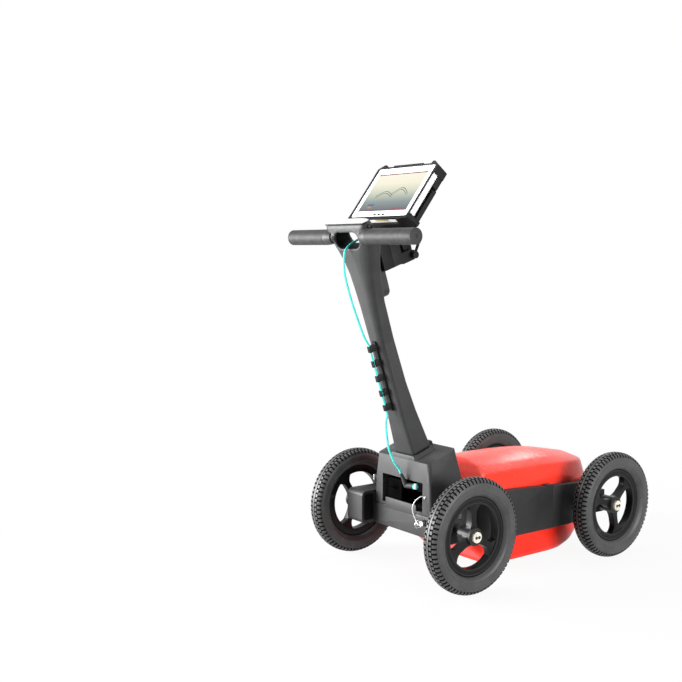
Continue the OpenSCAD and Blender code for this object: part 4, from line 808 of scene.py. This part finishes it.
# Handle: sleeves, collars at their inner ends and end caps; the left side is the shorter one
BAR_R, GRIP_R, GRIP_IN = 14.2, 21.5, 92.0
GRIP_STEPS = 72
HANDLE_END = {-1: 274.0, 1: 256.0}
for side, word in SIDES:
    end = HANDLE_END[side]
    at = handle_frame(side)
    sleeve = [(BAR_R, GRIP_IN), (GRIP_R - 0.6, GRIP_IN), (GRIP_R, GRIP_IN + 0.8),
              (GRIP_R, end - 6.6), (GRIP_R - 0.5, end - 6.1), (BAR_R, end - 6.1)]
    collar = [(BAR_R, 62), (17.5, 63), (19.6, 72), (20.8, 82), (21.2, GRIP_IN - 0.2),
              (BAR_R, GRIP_IN - 0.2)]
    cap = [(AXIS_R, end - 6), (GRIP_R - 0.4, end - 6), (GRIP_R, end - 5.4), (GRIP_R, end - 1.6),
           (GRIP_R - 0.5, end - 0.5), (GRIP_R - 1.8, end), (4.6, end), (4.0, end - 0.5),
           (3.8, end - 2), (AXIS_R, end - 2)]
    piece("grip_" + word + "_skin", *lathe(sleeve, GRIP_STEPS), GRIP, "mast_unit",
          ("grip_" + word,), at=at)
    piece("grip_collar_" + word, *lathe(collar, GRIP_STEPS), PLASTIC, "mast_unit", at=at)
    piece("end_cap_" + word + "_skin", *lathe(cap, GRIP_STEPS), CAP_GREY, "mast_unit",
          ("end_cap_" + word,), at=at)

# Head: the knob on its right side, and the plate with two screws, its sides painted dark as painted shadow
# of the gap under it
KNOB_AT = (16, 0, 670)
PLATE_REAR, PLATE_FRONT, PLATE_HALF, PLATE_CORNER, PLATE_NOSE = -4, 47, 83, 8, 37
PLATE_LOW, PLATE_EDGE, PLATE_TOP, PLATE_BEVEL = 681, 683.2, 684, 0.8
SCREW_A, SCREW_Y, SCREW_TOP = 4, 66, 685.4
piece("head_knob_skin", *lathe(ball_edge(5.5, 84, 98, 3.2), 28), DARK, "mast_unit", ("head_knob",),
      at=MAST @ Matrix.Translation(KNOB_AT) @ outboard(-1))


def plate_ring(inset, c):
    """The head plate's outline: straight at the rear, a lens towards the front."""
    rear, front, half = PLATE_REAR + inset, PLATE_FRONT - inset, PLATE_HALF - inset
    turn = quarter(10)
    plan = [(rear + PLATE_CORNER * (1 - math.cos(t)), half - PLATE_CORNER * (1 - math.sin(t)))
            for t in turn]
    plan += [(front - PLATE_NOSE * (1 - math.sin(t)), half - CHEEK_WIDE * (1 - math.cos(t)))
             for t in turn]
    return [(a, -y, c) for a, y in plan] + [(a, y, c) for a, y in reversed(plan)]


plate_rings = [plate_ring(0, PLATE_LOW), plate_ring(0, PLATE_EDGE),
               plate_ring(PLATE_BEVEL, PLATE_TOP)]
plate = piece("head_plate_skin", *loft(plate_rings), PLATE, "mast_unit", ("head_plate",), at=MAST)
mast_up = MAST.to_3x3() @ Vector((0, 0, 1))
# The plate's sides painted dark: painted shadow of the gap under the plate
paint(plate.data, DARK, lambda face: abs(face.normal.dot(mast_up)) < 0.8)
for side, word in SIDES:
    piece("plate_screw_" + word, *lathe(ball_edge(3.2, PLATE_TOP, SCREW_TOP, 0.6), 24), STEEL,
          "mast_unit", at=MAST @ Matrix.Translation((SCREW_A, side * SCREW_Y, 0)))

# Tablet: a lit screen with a made-up radar picture, the camera, the port's seal, links and bars.
# The picture's numbers are shares of the screen's width and height.
SCREEN_U, SCREEN_Y, SCREEN_DEEP = 67.5, 103.0, -0.5
SCREEN_STOPS = [(0.0, (0.13, 0.13, 0.15)), (0.25, (0.26, 0.31, 0.31)), (0.5, (0.62, 0.66, 0.52)),
                (0.72, (0.88, 0.84, 0.66)), (1.0, (0.94, 0.90, 0.76))]
ECHOES = ((0.36, 0.52, 1.1), (0.36, 0.47, 1.1), (0.66, 0.60, 1.4), (0.66, 0.55, 1.4))
ECHO_HALF, ECHO_REACH, ECHO_ROUND, ECHO_TINT = 0.010, 0.17, 0.1, (0.22, 0.20, 0.17)
SOIL_Y, SOIL_HALF, SOIL_TINT = 0.985, 0.014, (0.20, 0.035, 0.03)
MARKERS = ((0.80, 0.13, 0.05, 0.02, (0.30, 0.10, 0.13)),
           (0.20, 0.07, 0.17, 0.025, (0.02, 0.19, 0.33)),
           (0.19, 0.035, 0.11, 0.025, (0.70, 0.22, 0.07)))


def screen_look():
    """Cream to slate gradient with echo arcs, a soil line and three markers, and no lettering."""
    m, nodes, links, shader = material("screen_picture")
    uv = nodes.new("ShaderNodeUVMap")
    uv.uv_map = "UVMap"
    split = nodes.new("ShaderNodeSeparateXYZ")
    links.new(uv.outputs["UV"], split.inputs["Vector"])
    x, y = split.outputs["X"], split.outputs["Y"]

    def math_node(kind, *values):
        n = nodes.new("ShaderNodeMath")
        n.operation = kind
        for socket, value in zip(n.inputs, values):
            if isinstance(value, (int, float)):
                socket.default_value = value
            else:
                links.new(value, socket)
        return n.outputs[0]

    def over(colour, mask, tint):
        mix = nodes.new("ShaderNodeMix")
        mix.data_type = "RGBA"
        links.new(mask, mix.inputs["Factor"])
        links.new(colour, mix.inputs["A"])
        mix.inputs["B"].default_value = (*tint, 1)
        return mix.outputs["Result"]

    def band(value, middle, half):
        off = math_node("ABSOLUTE", math_node("SUBTRACT", value, middle))
        return math_node("LESS_THAN", off, half)

    def echo(cx, top, wide):
        dx = math_node("MULTIPLY", math_node("SUBTRACT", x, cx), wide)
        bow = math_node("ADD", math_node("MULTIPLY", dx, dx), ECHO_ROUND ** 2)
        fall = math_node("SUBTRACT", math_node("SQRT", bow), ECHO_ROUND)
        line = math_node("SUBTRACT", top, fall)
        on_line = band(math_node("SUBTRACT", y, line), 0.0, ECHO_HALF)
        return math_node("MULTIPLY", on_line, band(x, cx, ECHO_REACH))

    colour = ramp(nodes, links, y, SCREEN_STOPS).outputs["Color"]
    for spot in ECHOES:
        colour = over(colour, echo(*spot), ECHO_TINT)
    colour = over(colour, band(y, SOIL_Y, SOIL_HALF), SOIL_TINT)
    for mx, half_x, my, half_y, tint in MARKERS:
        colour = over(colour, math_node("MULTIPLY", band(x, mx, half_x), band(y, my, half_y)), tint)
    shader.inputs["Base Color"].default_value = (0.01, 0.01, 0.01, 1)
    shader.inputs["Specular IOR Level"].default_value = 0.1
    links.new(colour, shader.inputs["Emission Color"])
    shader.inputs["Emission Strength"].default_value = 1.0
    grain = noise(nodes, links, 260, 2.0)
    gloss = spread(nodes, links, grain.outputs["Fac"], 0.16, 0.24)
    links.new(gloss.outputs["Result"], shader.inputs["Roughness"])
    return m


screen_corners = [(u * SCREEN_U, y * SCREEN_Y, SCREEN_DEEP)
                  for u, y in ((-1, 1), (-1, -1), (1, -1), (1, 1))]
screen = piece("tablet_screen_skin", screen_corners, [(0, 1, 2, 3)], screen_look(), "tablet_unit",
               ("tablet_screen",), at=TABLET)
layer = screen.data.uv_layers.new(name="UVMap")
for corner, uv in zip(layer.data, ((0, 0), (1, 0), (1, 1), (0, 1))):
    corner.uv = uv
piece("tablet_camera", *lathe(ball_edge(2.0, -0.2, 0.3, 0.2), 20), DARK, "tablet_unit",
      at=TABLET @ Matrix.Translation((78, 2, 0)))
for name, low, high, edge, corner, look in (
        ("port_seal", (-94.0, -40, -13), (-92.0, 14, -6), 0.5, 0.8, TAN),
        ("guard_link_right", (28, -126, -40), (66, -113, -20), 1.5, 4, DARK),
        ("guard_link_left", (28, 113, -40), (66, 126, -20), 1.5, 4, DARK),
        ("top_bar", (92.5, -62, -12), (97.5, 62, 1.6), 0.8, 1.5, DARK),
        ("low_bar", (-96, -116, -4), (-92.6, 116, 1.6), 0.8, 1.5, DARK),
        ("left_bar", (-90, 123.5, -6), (64, 127, 1.6), 0.8, 1.5, DARK)):
    piece(name, *rounded_slab(low, high, edge, corner), look, "tablet_unit", at=TABLET)

# Plug with its boot, eyelet, encoder cover plate and the latch beside the pylon
BACKSHELL = [(AXIS_R, -4), (6.4, -4), (7.4, -2.4), (7.6, 20), (8.0, 21), (8.0, 24)]
BOOT = [(AXIS_R, -3), (7.2, -2), (7.6, 2), (7.0, 10), (6.6, 11), (6.6, 12), (6.3, 16), (5.8, 17),
        (5.8, 18), (5.3, 23), (4.9, 24), (4.9, 25), (4.3, 31), (4.1, BOOT_LONG - 0.2),
        (AXIS_R, BOOT_LONG - 0.2)]
ENCODER_PLATE_AT, LATCH_PIN_AT = (-301.5, 124.3, 170), (-276, 131, 254)
plug_at = facing(PLUG, PLUG_WAY)


def plug_disc(r, low, high):
    return lathe(ball_edge(r, low, high, 0.8), 32)


piece("plug_body", *join(lathe(BACKSHELL, 32), plug_disc(8.2, 36, 48.9)), CAP_GREY, "chassis",
      ("cable_plug",), at=plug_at)
piece("plug_boot", *lathe(BOOT, 32), CAP_GREY, "chassis", at=facing(PLUG, BOOT_WAY))
piece("plug_collar", *join(plug_disc(8.3, 24, 28), plug_disc(8.3, 32, 36)), TEAL, "chassis",
      at=plug_at)
piece("plug_ring", *plug_disc(8.45, 28, 32), WHITE, "chassis", at=plug_at)
piece("lanyard_eyelet", *lathe(ball_edge(4.0, 0, 3, 0.8), 28), STEEL, "chassis",
      at=facing(EYE_AT, Vector((-1, 0, 0))))
# The encoder plate stands for a recessed panel: its near-black is the panel's own black deepened by painted
# shade
piece("encoder_recess_shade_plate", *rounded_slab((-17.5, -39, 0), (17.5, 39, 1), 0.3, 7), RECESS_SHADE, "chassis",
      at=Matrix.Translation(ENCODER_PLATE_AT) @ outboard(-1))
piece("pylon_latch", *rounded_slab((-276, 117, 246), (-252, 140, 262), 1.5, 4), DARK, "chassis")
piece("latch_pin", *lathe(ball_edge(3, -8, 8, 1), 20), STEEL, "chassis",
      at=facing(Vector(LATCH_PIN_AT), Vector((0, 0, 1))))

# CAD parts shown as they are
for names, look in (
        (("encoder_sensor", "button_left", "button_middle", "button_right"), DARK),
        (("rear_axle_right", "rear_axle_left", "front_axle_right", "front_axle_left"), DARK),
        (("hinge_pin",), DARK), (("tablet_bezel",), WHITE), (("control_board",), BOARD),
        (("transmit_plate", "receive_plate"), COPPER), (("lock_pin", "encoder_disc"), STEEL),
        (["bearings_" + wheel for wheel in WHEELS], STEEL)):
    for n in names:
        NODES[n].data.materials.clear()
        NODES[n].data.materials.append(look)

# Stage, in metres and watts: white floor and world for the camera, the cart's soft shadow kept
FLOOR_HALF, FLOOR_GREY, FLOOR_ROUGH = 14.0, 0.6, 0.8
FLOOR_WHITE, SHADOW_NEAR, SHADOW_FAR = 0.93, 0.75, 1.5
WORLD_LIGHT = 0.12
LAMPS = (("key", (-2.7, 1.9, 0.9), (-0.2, 0, 0.5), (2.4, 1.6), 420),
         ("top", (0.2, 0.3, 3.6), (0.1, 0, 0.2), (2.4, 2.4), 80),
         ("fill", (0.5, -3.6, 1.0), (0, 0, 0.3), (2.0, 1.2), 120),
         ("glint", (2.6, 1.7, 1.7), (0.15, -0.06, 0.3), (0.35, 0.25), 4))


def white_to_camera(nodes, links, plain, shown, out):
    """Camera, glossy and transmission rays meet the shown shader, all others the plain one."""
    path = nodes.new("ShaderNodeLightPath")
    sees = path.outputs["Is Camera Ray"]
    for ray in ("Is Transmission Ray", "Is Glossy Ray"):
        most = nodes.new("ShaderNodeMath")
        most.operation = "MAXIMUM"
        links.new(sees, most.inputs[0])
        links.new(path.outputs[ray], most.inputs[1])
        sees = most.outputs[0]
    mix = nodes.new("ShaderNodeMixShader")
    links.new(sees, mix.inputs["Fac"])
    links.new(plain, mix.inputs[1])
    links.new(shown, mix.inputs[2])
    links.new(mix.outputs["Shader"], out.inputs["Surface"])


def add_floor():
    mesh = bpy.data.meshes.new("floor")
    s = FLOOR_HALF
    mesh.from_pydata([(-s, -s, 0), (s, -s, 0), (s, s, 0), (-s, s, 0)], [], [(0, 1, 2, 3)])
    floor = add_object("floor", mesh)
    m, nodes, links, shader = material("studio_floor")
    shader.inputs["Base Color"].default_value = (FLOOR_GREY, FLOOR_GREY, FLOOR_GREY, 1)
    shader.inputs["Roughness"].default_value = FLOOR_ROUGH
    glow = nodes.new("ShaderNodeEmission")
    glow.inputs["Strength"].default_value = 1.0
    place = nodes.new("ShaderNodeTexCoord")
    far = nodes.new("ShaderNodeVectorMath")
    far.operation = "LENGTH"
    links.new(place.outputs["Object"], far.inputs[0])
    keep = spread(nodes, links, far.outputs["Value"], FLOOR_WHITE, 1.0)
    keep.inputs["From Min"].default_value = SHADOW_NEAR
    keep.inputs["From Max"].default_value = SHADOW_FAR
    shade = nodes.new("ShaderNodeMixShader")
    links.new(keep.outputs["Result"], shade.inputs["Fac"])
    links.new(shader.outputs["BSDF"], shade.inputs[1])
    links.new(glow.outputs["Emission"], shade.inputs[2])
    white_to_camera(nodes, links, shader.outputs["BSDF"], shade.outputs["Shader"],
                    nodes["Material Output"])
    mesh.materials.append(m)


def add_world():
    world = bpy.data.worlds.new("studio")
    scene.world = world
    world.use_nodes = True
    nodes, links = world.node_tree.nodes, world.node_tree.links
    light, seen = nodes["Background"], nodes.new("ShaderNodeBackground")
    for background, strength in ((light, WORLD_LIGHT), (seen, 1.0)):
        background.inputs["Color"].default_value = (1, 1, 1, 1)
        background.inputs["Strength"].default_value = strength
    white_to_camera(nodes, links, light.outputs["Background"], seen.outputs["Background"],
                    nodes["World Output"])


def add_lamp(name, place, aim, size, power):
    data = bpy.data.lights.new(name, "AREA")
    data.shape = "RECTANGLE"
    data.size, data.size_y = size
    data.energy = power
    o = add_object(name, data)
    o.location = place
    o.rotation_euler = (Vector(aim) - Vector(place)).to_track_quat("-Z", "Y").to_euler()


add_floor()
add_world()
for spec in LAMPS:
    add_lamp(*spec)
